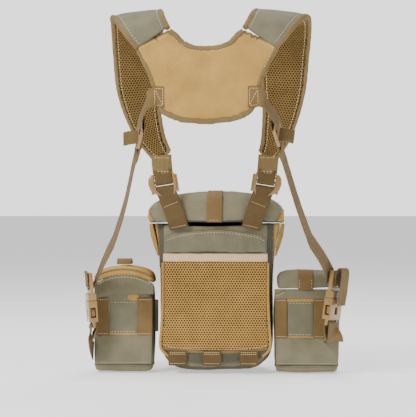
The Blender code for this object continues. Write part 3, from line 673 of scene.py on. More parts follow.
def inflate(obj, pressure=4.0, cap=2.5, push=None, steps=20):
    """Blow the cloth up under pressure, then hold each point within cap of where it began."""
    cloth = obj.modifiers.new("cloth", "CLOTH")
    settings = cloth.settings
    settings.quality = 5
    settings.mass = 0.3
    settings.tension_stiffness = settings.compression_stiffness = 12.0
    settings.shear_stiffness = 6.0
    settings.bending_stiffness = 0.3
    settings.use_pressure = True
    settings.uniform_pressure_force = pressure
    settings.effector_weights.gravity = 0.0
    cloth.collision_settings.use_collision = False
    scene = bpy.context.scene
    rest = [v.co.copy() for v in obj.data.vertices]
    for number in range(1, steps + 1):
        scene.frame_set(number)
    graph = bpy.context.evaluated_depsgraph_get()
    moved = [v.co.copy() for v in obj.evaluated_get(graph).data.vertices]
    obj.modifiers.clear()
    scene.frame_set(1)
    for vert, a, b in zip(obj.data.vertices, rest, moved):
        step = b - a
        if push is not None:
            step -= push * min(0.0, step.dot(push))
        reach = cap * MM
        vert.co = a + step * (reach / max(reach, step.length))


def round_off(obj, levels=1):
    modifier = obj.modifiers.new("fine", "SUBSURF")
    modifier.levels = modifier.render_levels = levels
    bake(obj)


def normals_of(obj):
    return [v.normal.copy() for v in obj.data.vertices]


def sew(obj, lines, depth, width, facing=None):
    """Pull the cloth in along sewn lines, most at the line itself."""
    points = [p for line in lines for p in arc_steps(line, 1.2)]
    tree = KDTree(len(points))
    for i, p in enumerate(points):
        tree.insert(p, i)
    tree.balance()
    for vert, normal in zip(obj.data.vertices, normals_of(obj)):
        if facing is not None and normal.dot(facing) < 0.2:
            continue
        away = tree.find(vert.co / MM)[2]
        if away < 3.5 * width:
            vert.co -= normal * (depth * MM * math.exp(-(away / width) ** 2))


def wrinkle(obj, amount, size, stretch=(1.0, 1.0, 1.0), seed=0.0, where=None):
    """Soft creases: displacement along the normals by stretched noise."""
    for vert, normal in zip(obj.data.vertices, normals_of(obj)):
        p = vert.co / MM
        share = where(p) if where else 1.0
        if share <= 0.0:
            continue
        q = Vector((p.x / stretch[0], p.y / stretch[1], p.z / stretch[2])) / size
        value = noise.fractal(q + Vector((seed, seed, seed)), 0.9, 2.1, 3)
        vert.co += normal * (amount * share * value * MM)


def net(name, across, up, pitch, hole, inside, onto, mat, rides, thick=0.5):
    """Air mesh: a honeycomb lattice of threads round open holes."""
    bm = bmesh.new()
    radius = pitch / math.sqrt(3.0)
    rise = pitch * math.sqrt(3.0) / 2
    rows = int((up[1] - up[0]) / rise) + 1
    for j in range(rows):
        z = up[0] + j * rise
        count = int((across[1] - across[0]) / pitch) + 1
        for i in range(count):
            x = across[0] + (i + 0.5 * (j % 2)) * pitch
            if not inside(x, z):
                continue
            outer, inner = [], []
            for k in range(6):
                a = math.radians(60 * k + 30)
                outer.append(bm.verts.new(onto(x + radius * math.cos(a), z + radius * math.sin(a), 0.0)))
                inner.append(bm.verts.new(onto(x + hole * math.cos(a), z + hole * math.sin(a), -0.22)))
            for k in range(6):
                m = (k + 1) % 6
                bm.faces.new((outer[k], outer[m], inner[m], inner[k]))
    bmesh.ops.remove_doubles(bm, verts=bm.verts, dist=0.12)
    obj = settle(name, bm, mat, None, sharp=180.0)
    modifier = obj.modifiers.new("thread", "SOLIDIFY")
    modifier.thickness = thick * MM
    modifier.offset = 0.0
    bake(obj)
    return dress(obj, mat, rides, sharp=180.0)


# ---------------------------------------------------------------- yoke

YOKE = box("yoke_panel")


def build_yoke():
    pad = voxelled("yoke_panel", 2.6)
    inflate(pad, 4.0, 1.6)
    wrinkle(pad, 0.5, 26.0, (1.0, 1.0, 1.6), 3.0)
    round_off(pad)
    skin = Skin(pad)
    dress(pad, SUEDE, "yoke_panel", ("yoke_panel",))
    low, high = YOKE
    # edge of the panel: half widths by level, from the rounded bottom to the shoulder seam
    side = [(30.0, 211.6), (42.5, 216.0), (51.5, 222.5), (55.4, 230.0), (59.3, 245.0),
            (65.2, 262.0), (72.6, 280.0), (81.0, 297.4)]
    bottom = [(-x, z) for x, z in reversed(side)] + [(0.0, 209.6)] + side
    neck = [(-40.0, 317.0), (-35.2, 311.6), (-27.0, 304.6), (-18.0, 299.8), (0.0, 297.4),
            (18.0, 299.8), (27.0, 304.6), (35.2, 311.6), (40.0, 317.0)]
    edges = {"hem": bottom, "collar": neck}
    for tag, outline in edges.items():
        path = arc_steps(spline([(x, low.y, z) for x, z in outline], 2.0), 2.0)
        rim = [skin.near((p.x, -232.0 + 0.0012 * p.x * p.x + 0.035 * (p.z - 250.0), p.z))[0] for p in path]
        centre = Vector((0.0, 0.0, 262.0))
        samples = []
        for p in rim:
            outward = Vector((p.x, 0.0, p.z - centre.z)).normalized()
            if tag == "collar":
                outward = Vector((0.0, 0.0, 1.0))
            samples.append((p - outward * 1.2, BACK))
        roll(f"yoke_{tag}_binding", samples, 7.2, 4.3, BINDING, "yoke_panel", pucker=0.25, sunk=-0.2)
        inner = [(x * 0.925, z + (262.0 - z) * 0.075) for x, z in outline]
        if tag == "collar":
            inner = [(x, z - 6.2) for x, z in outline]
        rows = skin.trace([(x, low.y - 4.0, z) for x, z in inner], FRONT, lift=0.15)
        stitches(f"yoke_{tag}_stitches", rows, "yoke_panel", radius=0.32)
    # shoulder seams, where each strap is sewn in
    for tag in SIDES:
        s = mirror(tag)
        seam = [(s * 79.5, low.y, 297.6), (s * 60.0, low.y, 306.6), (s * 42.0, low.y, 314.6)]
        samples = skin.trace(seam, FRONT, 1.5)
        roll(f"yoke_seam_{tag}", samples, 3.4, 1.2, BINDING, "yoke_panel", pucker=0.3)
        lower = [(x, y, z - 4.4) for x, y, z in seam]
        stitches(f"yoke_seam_stitches_{tag}", skin.trace(lower, FRONT, lift=0.15), "yoke_panel")
    return skin


def build_yoke_webs():
    for tag in SIDES:
        s = mirror(tag)
        web, _ = webbing(f"yoke_web_{tag}", step=1.5)
        skin = Skin(web)
        low, high = box(f"yoke_web_{tag}")
        x0, x1 = 48.4, 57.6
        z0, z1 = 231.0, 249.8
        frame_line = [(x0, z0), (x1, z0), (x1, z1), (x0, z1), (x0, z0), (x1, z1)]
        for k, (a, b) in enumerate(zip(frame_line, frame_line[1:])):
            path = [(s * a[0], low.y, a[1]), (s * b[0], low.y, b[1])]
            stitches(f"yoke_web_{tag}_box_{k}", skin.trace(path, FRONT, 1.2, 0.1), f"yoke_web_{tag}",
                     length=2.2, gap=0.8, radius=0.34)


# ---------------------------------------------------------------- shoulder straps

STRAP_SECTION = ((-1.0, 0.0), (-0.97, 0.45), (-0.86, 0.85), (-0.55, 1.05), (0.0, 1.12),
                 (0.55, 1.05), (0.86, 0.85), (0.97, 0.45))


def strap_line(tag):
    """The pad's line from the yoke to the chest, its face turned away from the wearer."""
    line = line_of(f"shoulder_strap_{tag}", 12, 3.0, BACK)
    if line[0][2].y > 0:
        line = [(c, a, -f, w, t, d) for c, a, f, w, t, d in line]
    centre, across, face, width, thick, _ = line[0]
    back = (centre - line[1][0]).normalized()
    out = [(centre + back * 4.0 + face * 1.6, across, face, width, thick, -4.0), line[0]]
    for c, a, f, w, t, d in line[1:]:
        out.append((c, a, f if f.dot(out[-1][2]) > 0 else -f, w, t, d))
    return extended(out, end=2.0)


def build_shoulder_straps():
    for tag in SIDES:
        line = strap_line(tag)
        length = line[-1][5]
        pad = sweep(f"shoulder_strap_{tag}.pad", line, [GREY_PAD, NET_BACKING_PAINTED_SHADE], None, "ripstop_pad",
                    section=full_section(STRAP_SECTION), grow=(-0.6, -0.5), wave=0.5, seed=4.0)
        inflate(pad, 3.0, 0.8)
        round_off(pad)
        dress(pad, [GREY_PAD, NET_BACKING_PAINTED_SHADE], f"shoulder_strap_{tag}",
              (f"shoulder_strap_{tag}",))
        centres = KDTree(len(line))
        for i, station in enumerate(line):
            centres.insert(station[0], i)
        centres.balance()
        # The pad's face towards the wearer takes the near-black backing as painted shade; its outer face
        # keeps the padded grey.
        for poly in pad.data.polygons:
            station = line[centres.find(poly.center / MM)[1]]
            poly.material_index = 1 if (poly.center / MM - station[0]).dot(station[2]) < 0 else 0
        skin = Skin(pad)

        reach = np.array([st[5] for st in line])

        def look(along, line=line, reach=reach):
            i = int(np.clip(np.searchsorted(reach, along) - 1, 0, len(line) - 2))
            t = float(np.clip((along - reach[i]) / max(reach[i + 1] - reach[i], 1e-6), 0.0, 1.0))
            a, b = line[i], line[i + 1]
            return [p.lerp(q, t) for p, q in zip(a[:3], b[:3])] + [a[3] + (b[3] - a[3]) * t]

        def onto(u, along, lift, look=look, skin=skin):
            centre, across, face, width = look(along)
            return skin.at(centre + across * u - face * 3.0, face, 0.35 + lift)[0]

        def inside(u, along, look=look, length=length):
            return 2.0 < along < length - 2.0 and abs(u) < look(along)[3] / 2 - 4.6

        # The strap's air mesh takes the darker copy of the gold mesh as painted shade.
        net(f"shoulder_strap_{tag}.air_mesh", (-34.0, 34.0), (2.0, length - 2.0), 3.4, 1.28, inside,
            onto, NET_PAINTED_SHADE, f"shoulder_strap_{tag}", thick=0.6)
        centre, across, face, width = line[-2][:4]
        end = [(centre + across * (width * share), face) for share in (-0.42, -0.2, 0.0, 0.2, 0.42)]
        roll(f"shoulder_strap_{tag}.end_binding", end, 7.5, 4.4, BINDING, f"shoulder_strap_{tag}",
             pucker=0.15, sunk=0.0)
        for edge, sign in (("inner", -1.0), ("outer", 1.0)):
            samples, back_row, front_row = [], [], []
            for centre, across, face, width, thick, along in line:
                rim = centre + across * sign * (width / 2 - 2.2)
                samples.append((rim, face))
                seam = centre + across * sign * (width / 2 - 6.6)
                back_row.append(skin.at(seam - face * 3.0, face, 0.75))
                front_row.append(skin.at(seam + face * 3.0, -face, 0.2))
            roll(f"shoulder_strap_{tag}.{edge}_binding", samples, 6.6, 3.9, BINDING,
                 f"shoulder_strap_{tag}", pucker=0.18, sunk=0.0)
            stitches(f"shoulder_strap_{tag}.{edge}_inside_stitches", back_row, f"shoulder_strap_{tag}")
            stitches(f"shoulder_strap_{tag}.{edge}_outside_stitches", front_row, f"shoulder_strap_{tag}",
                     THREAD_GREY)


def build_chest_lock(tag):
    """Curved guards on the two rails of a chest lock, flush with its broad face."""
    s = mirror(tag)
    low, high = box(f"chest_lock_{tag}")
    middle = (low + high) / 2
    lean = math.radians(9.0)
    up = Vector((s * math.sin(lean), 0.0, math.cos(lean)))
    across = Vector((math.cos(lean), 0.0, -s * math.sin(lean)))
    hook = (0.0, 0.12, 0.3, 0.6, 0.85, 1.0)
    for k, way in enumerate((-1.0, 1.0)):
        outer = way * s > 0
        outline = (7.0, 13.0, 18.6, 20.4, 19.0, 15.5) if outer else (11.0, 13.5, 15.2, 15.8, 15.4, 13.0)
        opening = (4.0, 7.0, 10.6, 11.6, 11.6, 11.0) if outer else (9.5, 10.2, 11.0, 11.4, 11.2, 10.5)
        rings = []
        for i in range(25):
            t = i / 24
            edge = float(np.interp(t, hook, outline))
            inner = float(np.interp(t, hook, opening))
            depth = 1.6 + 2.2 * math.sin(math.pi * min(1.0, 0.1 + 0.85 * t))
            mid, half = (inner + edge) / 2, (edge - inner) / 2
            ring = []
            for n in range(14):
                a = 2 * math.pi * n / 14
                u = math.copysign(abs(math.cos(a)) ** 0.6, math.cos(a))
                v = math.copysign(abs(math.sin(a)) ** 0.7, math.sin(a))
                ring.append(middle + across * (way * (mid + half * u)) + up * (28.0 * t - 14.0)
                            + BACK * (depth * v + 0.8))
            rings.append(ring)
        settle(f"chest_lock_{tag}.guard_{k}", loft(rings), ACETAL, f"chest_lock_{tag}")


def build_chest_side():
    for tag in SIDES:
        sleeve, _ = webbing(f"strap_sleeve_{tag}", mat=BINDING, grow=(0.4, 0.0), wave=0.35,
                            more=(2.2, 1.0), section=full_section(STRAP_SECTION), slot="suede")
        skin = Skin(sleeve)
        low, high = box(f"strap_sleeve_{tag}")
        x = low.x + (high.x - low.x) * (0.60 if tag == "l" else 0.38)
        roll(f"strap_sleeve_{tag}.seam", skin.trace([(x, low.y, high.z - 1.0), (x, low.y, low.z + 1.0)],
                                                    FRONT, 1.5), 2.0, 0.8, BINDING, f"strap_sleeve_{tag}")
        for k, z in enumerate((high.z - 2.5, low.z + 3.0)):
            path = [(low.x + 2.5, low.y, z), (high.x - 2.5, low.y, z)]
            stitches(f"strap_sleeve_{tag}.row_{k}", skin.trace(path, FRONT, 1.5, 0.1), f"strap_sleeve_{tag}")
        webbing(f"adjust_web_{tag}", mat=WEB_DARK, slot="webbing_dark", step=1.2, more=(8.0, 8.0))
        build_chest_lock(tag)
        web, line = webbing(f"chest_web_{tag}", mat=WEB_DARK, slot="webbing_dark", step=1.5)
        skin = Skin(web)
        for k, z in enumerate((121.0, 93.5)):
            near = min(line, key=lambda st: abs(st[0].z - z) + (20.0 if st[0].y > -9.0 and z > 100 else 0.0))
            centre, across = near[0], near[1]
            path = [centre + across * u - Vector((0.0, 4.0, 0.0)) for u in (-10.5, 10.5)]
            stitches(f"chest_web_{tag}.row_{k}", skin.trace(path, FRONT, 1.2, 0.1), f"chest_web_{tag}",
                     length=1.9, gap=0.8)


# ---------------------------------------------------------------- main pack

def gusset_edge(z):
    """Half width at which the tan gusset beside the mouth begins."""
    return 72.4 + max(0.0, z - 44.0) * 0.03


def build_body():
    body = refined("pack_body", 3)
    wrinkle(body, 1.1, 34.0, (1.0, 1.0, 1.8), 1.0, where=lambda p: 1.0 if p.y > 8.0 else 0.25)
    dress(body, [GREY_PAINTED_SHADE_AND_TRIM, GREY, SUEDE], "pack_body", ("pack_body",))
    # Painted shade: every face of the body beyond the back face (y >= 6.5) takes the darker grey, except the
    # tan gussets; the back face towards the wearer keeps the plain grey.
    for poly in body.data.polygons:
        c = poly.center / MM
        if c.y < 6.5:
            poly.material_index = 1
        elif c.z > 44.0 and abs(c.x) > gusset_edge(c.z) and c.y < 60.0:
            poly.material_index = 2
    skin = Skin(body)
    for tag in SIDES:
        s = mirror(tag)
        path = [(s * (gusset_edge(z) + 0.4), -20.0, z) for z in (95.0, 84.0, 72.0, 60.0, 48.0, 40.0)]
        roll(f"gusset_piping_{tag}", skin.trace(path, FRONT, 1.5), 3.0, 1.2, BINDING, "pack_body", pucker=0.2)
    # corner piping down both far edges, and the welt round the foot
    for tag in SIDES:
        s = mirror(tag)
        path = [(s * 60.0, 112.0, 92.0), (s * 60.0, 112.0, 20.0), (s * 58.0, 112.0, -40.0),
                (s * 55.0, 108.0, -76.0)]
        roll(f"pack_corner_piping_{tag}", skin.trace(path, BACK, 2.5), 3.4, 1.4, BINDING, "pack_body")
        edge = [(s * 66.8, 1.8, 47.0), (s * 66.8, 1.6, 20.0), (s * 66.9, 1.4, 0.0),
                (s * 68.2, 1.0, -30.0), (s * 70.0, 0.8, -56.0), (s * 66.9, 0.8, -65.5),
                (s * 60.0, 1.8, -71.5)]
        samples = [(Vector(p), BACK) for p in arc_steps(spline(edge, 2.0), 2.0)]
        roll(f"pack_back_edge_{tag}", samples, 3.6, 1.8, SUEDE, "pack_body", pucker=0.3, sunk=0.0)


def build_back():
    low, high = box("back_panel")
    panel = voxelled("back_panel", 1.7)
    inflate(panel, 3.0, 1.2, push=BACK)
    wrinkle(panel, 1.5, 15.0, (0.7, 1.0, 2.8), 7.0, where=lambda p: min(1.0, max(0.0, (high.z - p.z) / 10.0)))
    arch = [(-62.5, 75.0), (-52.0, 79.2), (-37.0, 82.4), (-18.0, 84.7), (0.0, 85.4),
            (18.0, 84.7), (37.0, 82.4), (52.0, 79.2), (62.5, 75.0)]
    line = spline([(x, low.y, z) for x, z in arch], 1.5)
    sew(panel, [line], 0.9, 1.6, BACK)
    round_off(panel)
    dress(panel, GREY_PAD, "back_panel", ("back_panel",))
    skin = Skin(panel)
    stitches("back_panel_stitches", skin.trace(line, FRONT, lift=0.1), "back_panel", THREAD, radius=0.34)
    top = [(x, low.y, z + 4.6) for x, _, z in line]
    roll("back_panel_piping", skin.trace([tuple(p) for p in top[::4]], FRONT, 1.5), 3.0, 1.1, GREY,
         "back_panel")

    # elastic band across the pocket's mouth, gathered along its length
    low, high = box("mesh_band")
    rings = []
    count = 150
    for i in range(count + 1):
        x = low.x + (high.x - low.x) * i / count
        ring = []
        for k in range(24):
            a = 2 * math.pi * k / 24
            u = math.copysign(abs(math.cos(a)) ** 0.35, math.cos(a))
            v = math.copysign(abs(math.sin(a)) ** 0.7, math.sin(a))
            ruck = 0.22 * math.sin(x * 1.9 + 0.8 * math.sin(x * 0.23)) * max(0.0, v)
            z = (low.z + high.z) / 2 + u * (high.z - low.z) / 2 + 0.3 * noise.noise(Vector((x / 14, 0, 5)))
            ring.append((x, (low.y + high.y) / 2 - v * 1.75 - ruck, z))
        rings.append(ring)
    band = settle("mesh_band.elastic", loft(rings), ELASTIC, "mesh_band", ("mesh_band",))
    skin = Skin(band)
    for k, z in enumerate((low.z + 1.6, high.z - 1.6)):
        path = [(low.x + 1.0, low.y, z), (high.x - 1.0, low.y, z)]
        stitches(f"mesh_band_row_{k}", skin.trace(path, FRONT, 1.5, 0.05), "mesh_band", THREAD,
                 length=2.2, gap=1.0, radius=0.28)


MESH_EDGE = ((66.3, 48.1), (66.3, 0.0), (67.5, -30.0), (69.5, -58.0), (66.0, -62.5), (50.0, -64.5),
             (25.0, -66.2), (0.0, -66.8))


def build_mesh_pocket():
    low, high = box("mesh_pocket")
    edge = sorted((z, x) for x, z in MESH_EDGE)

    def half(z):
        return float(np.interp(z, [p[0] for p in edge], [p[1] for p in edge]))

    def relief(x, z):
        """How far the mesh stands out: fullest low down, pulled in at its edges."""
        u = x / 68.0
        v = (z + 9.0) / 58.0
        bulge = 0.9 * max(0.0, 1 - u * u) * max(0.0, 1 - v * v)
        return bulge + 0.35 * noise.noise(Vector((x / 17, z / 13, 2)))

    def inside(x, z):
        return low.z + 2.6 < z < high.z - 0.6 and abs(x) < half(z) - 1.6

    def onto(x, z, lift):
        return (x, 0.2 - relief(x, z) - lift, z)

    # A near-black sheet behind the air mesh, painted shade seen through its holes.
    columns = [i / 40 for i in range(-40, 41)]
    rows = [low.z + 1.0 + (high.z - low.z - 1.4) * j / 60 for j in range(61)]
    bm = bmesh.new()
    front = [[bm.verts.new((u * (half(z) - 0.8), 0.9 - relief(u * half(z), z), z)) for u in columns]
             for z in rows]
    for a, b in zip(front, front[1:]):
        for i in range(len(columns) - 1):
            bm.faces.new((a[i], a[i + 1], b[i + 1], b[i]))
    backing = settle("mesh_pocket.painted_shade_backing", bm, NET_BACKING_PAINTED_SHADE, None)
    modifier = backing.modifiers.new("cloth", "SOLIDIFY")
    modifier.thickness = 0.5 * MM
    bake(backing)
    dress(backing, NET_BACKING_PAINTED_SHADE, "mesh_pocket", ("mesh_pocket",))
    lattice = net("mesh_pocket.air_mesh", (-68.0, 68.0), (low.z + 2.0, high.z), 3.4, 1.28, inside, onto,
                  NET, "mesh_pocket", thick=0.55)
    hem = [(-66.0, -61.0), (-50.0, -64.2), (-25.0, -65.9), (0.0, -66.5), (25.0, -65.9), (50.0, -64.2),
           (66.0, -61.0)]
    samples = [(Vector(p), BACK) for p in arc_steps(spline([(x, 0.7, z) for x, z in hem], 2.0), 2.0)]
    roll("mesh_pocket_hem", samples, 4.4, 1.7, BINDING, "mesh_pocket", pucker=0.25, sunk=0.0)
    row = [(p - Vector((0.0, 0.0, -3.2)) - Vector((0.0, 1.3, 0.0)), BACK) for p, _ in samples]
    stitches("mesh_pocket_stitches", row, "mesh_pocket")


def build_bottom_band():
    band = voxelled("bottom_band", 0.8)
    wrinkle(band, 1.2, 9.0, (2.2, 1.0, 1.0), 2.0, where=lambda p: 1.0 if p.y < 2.0 else 0.0)
    round_off(band)
    # The bottom band takes the darker grey as painted shade.
    dress(band, GREY_PAINTED_SHADE_AND_TRIM, "bottom_band", ("bottom_band",))
    for number in (1, 2, 3):
        name = f"pals_loop_{number}"
        web, _ = webbing(name, mat=WEB_DARK, slot="webbing_dark", step=1.2)
        skin = Skin(web)
        a, b = box(name)
        for k, z in enumerate((b.z - 2.2, b.z - 4.4, a.z + 3.2)):
            path = [(a.x + 1.2, a.y, z), (b.x - 1.2, a.y, z)]
            stitches(f"{name}.row_{k}", skin.trace(path, FRONT, 1.2, 0.1), name, length=1.9, gap=0.6)


def build_lid():
    lid = refined("pack_lid", 3)
    inflate(lid, 3.0, 1.0)
    wrinkle(lid, 0.7, 30.0, (1.6, 1.0, 1.0), 9.0)
    skin = Skin(lid)
    low, high = box("pack_lid")
    dress(lid, [GREY, SUEDE], "pack_lid", ("pack_lid",))

    cap_top = 113.5

    def cap_edge(z):
        return 77.6 + (z - 98.0) * 0.47

    for poly in lid.data.polygons:
        c = poly.center / MM
        poly.material_index = 1 if abs(c.x) > cap_edge(c.z) and c.z < cap_top + 1.0 else 0
    for tag in SIDES:
        s = mirror(tag)
        up = [(s * cap_edge(z), low.y - 2.0, z) for z in (99.0, 104.0, 109.0)]
        rows = skin.trace(up, FRONT, 1.5)
        over = [(s * (high.x + 20.0), y, cap_top) for y in (8.0, 25.0, 55.0, 85.0, 101.0)]
        rows += skin.trace(over, Vector((-s, 0.0, 0.0)), 2.0)
        rear = [(s * cap_edge(z), high.y + 4.0, z) for z in (109.0, 104.0, 99.0)]
        rows += skin.trace(rear, BACK, 1.5)
        roll(f"lid_cap_piping_{tag}", rows, 2.6, 1.1, BINDING, "pack_lid", pucker=0.2)
    # bound lower edge, round all four sides
    ring = []
    for cx, cy, start in ((71.5, 97.0, 0), (-71.5, 97.0, 90), (-71.5, 12.5, 180), (71.5, 12.5, 270)):
        for k in range(7):
            a = math.radians(start + 15 * k)
            ring.append(Vector((cx + 15.6 * math.cos(a), cy + 15.6 * math.sin(a), 99.2)))
    ring = arc_steps(ring + [ring[0]], 2.2)[:-1]
    centre = Vector((0.0, 55.0, 100.0))
    rim = []
    for p in ring:
        hit, normal = skin.at(centre + (p - centre) * 1.15, (centre - p), 0.0)
        rim.append((hit, normal))
    roll("lid_rim_binding", rim, 6.0, 1.4, GREY_PAINTED_SHADE_AND_TRIM, "pack_lid", pucker=0.3, closed=True)

    tab, _ = webbing("lid_pull_tab", step=1.5, toward=-UP)
    skin = Skin(tab)
    a, b = box("lid_pull_tab")
    path = [(a.x + 2.0, a.y - 1.0, 101.2), (b.x - 2.0, a.y - 1.0, 101.2)]
    stitches("lid_pull_tab.row", skin.trace(path, FRONT, 1.5, 0.1), "lid_pull_tab", radius=0.26)


def build_front():
    """The far side: cloth hinge, wings beside the mouth and the flat zipped pocket."""
    rings, coords = [], []
    for i in range(53):
        x = -52.0 + 2.0 * i
        ring = []
        for y, z in ((112.4, 84.5), (113.6, 90.0), (114.6, 95.0), (115.1, 98.0), (115.2, 101.0),
                     (115.3, 104.5), (114.2, 104.5), (114.1, 101.0), (114.0, 98.0), (113.4, 95.0),
                     (112.3, 90.0), (110.9, 84.5)):
            ring.append((x, y + 0.15 * noise.noise(Vector((x / 9, z / 9, 1))), z))
        rings.append(ring)
        coords.append([(z, x, 0.0) for _, _, z in ring])
    hinge = settle("lid_hinge_cloth", loft(rings, coords), WEBBING, None, ("lid_hinge_tape",))
    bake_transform(hinge, "root", "main_lid", start=(0.0, 0.1145, 0.0955), end=(0.0, 0.1145, 0.1010))

    for tag in SIDES:
        wing = refined(f"side_wing_{tag}", 0)
        soften(wing, 1.1)
        dress(wing, SUEDE, f"side_wing_{tag}", (f"side_wing_{tag}",))

    pocket = voxelled("front_pocket", 2.6)
    inflate(pocket, 4.0, 2.2, push=FRONT)
    wrinkle(pocket, 0.6, 22.0, (1.0, 1.0, 1.4), 11.0)
    low, high = box("front_pocket")
    zip_z = high.z - 16.0
    zip_path = [(low.x + 9.0, high.y, zip_z), (0.0, high.y, zip_z + 1.0), (high.x - 9.0, high.y, zip_z)]
    sew(pocket, [zip_path], 1.6, 3.0, FRONT)
    round_off(pocket)
    dress(pocket, GREY, "front_pocket", ("front_pocket",))
    skin = Skin(pocket)
    outline = [(-49.0, -60.0), (49.0, -60.0), (49.5, 41.0), (44.0, 45.0), (-44.0, 45.0), (-49.5, 41.0),
               (-49.0, -60.0)]
    for k, (a, b) in enumerate(zip(outline, outline[1:])):
        path = [(a[0], high.y + 3.0, a[1]), (b[0], high.y + 3.0, b[1])]
        stitches(f"front_pocket_row_{k}", skin.trace(path, BACK, 1.5, 0.1), "front_pocket", THREAD_GREY)
    # coil zip: two tapes' worth of teeth in a welt
    teeth = skin.trace(zip_path, BACK, 1.6, 0.5)
    roll("front_pocket_zip_tape", teeth, 9.0, 0.6, GREY_PAINTED_SHADE_AND_TRIM, "front_pocket", pucker=0.0, sunk=0.5)
    stitches("front_pocket_zip_teeth", [(p + n * 0.5, n) for p, n in teeth], "front_pocket", CORD,
             length=1.5, gap=0.7, radius=1.3, sunk=0.2)
    for k, lift in enumerate((-6.4, 6.4)):
        path = [(x, y, z + lift) for x, y, z in zip_path]
        stitches(f"front_pocket_zip_row_{k}", skin.trace(path, BACK, 1.5, 0.1), "front_pocket")


# ---------------------------------------------------------------- pouches

def strip_panel(name, outline, y, depth, mat, rides, stands_for=(), crown=0.5, seed=0.0):
    """A thin sewn panel on the wearer's side: a crowned grid inside four corners."""
    (x0, z0), (x1, z1), (x2, z2), (x3, z3) = outline
    cols, rows = 24, 24
    bm = bmesh.new()

    def point(i, j, face):
        u, v = i / cols, j / rows
        x = (x0 * (1 - u) + x1 * u) * (1 - v) + (x3 * (1 - u) + x2 * u) * v
        z = (z0 * (1 - u) + z1 * u) * (1 - v) + (z3 * (1 - u) + z2 * u) * v
        edge = min(u, 1 - u, v, 1 - v)
        rise = crown * (1 - (2 * u - 1) ** 2) * (1 - (2 * v - 1) ** 2) if face else 0.0
        soft = 0.6 * depth * max(0.0, 1 - edge / 0.05) if face else 0.0
        swell = 0.3 * crown * noise.noise(Vector((x / 9, z / 9, seed))) if face else 0.0
        return (x, y - rise - swell + soft if face else y + depth, z)

    faces = {}
    for face in (1, 0):
        faces[face] = [[bm.verts.new(point(i, j, face)) for i in range(cols + 1)] for j in range(rows + 1)]
        grid = faces[face]
        for j in range(rows):
            for i in range(cols):
                quad = (grid[j][i], grid[j][i + 1], grid[j + 1][i + 1], grid[j + 1][i])
                bm.faces.new(quad if face else quad[::-1])
    rims = []
    for face in (1, 0):
        g = faces[face]
        rims.append([g[0][i] for i in range(cols)] + [g[j][cols] for j in range(rows)]
                    + [g[rows][i] for i in range(cols, 0, -1)] + [g[j][0] for j in range(rows, 0, -1)])
    for i in range(len(rims[0])):
        j = (i + 1) % len(rims[0])
        bm.faces.new((rims[0][i], rims[1][i], rims[1][j], rims[0][j]))
    return settle(name, bm, mat, rides, stands_for)


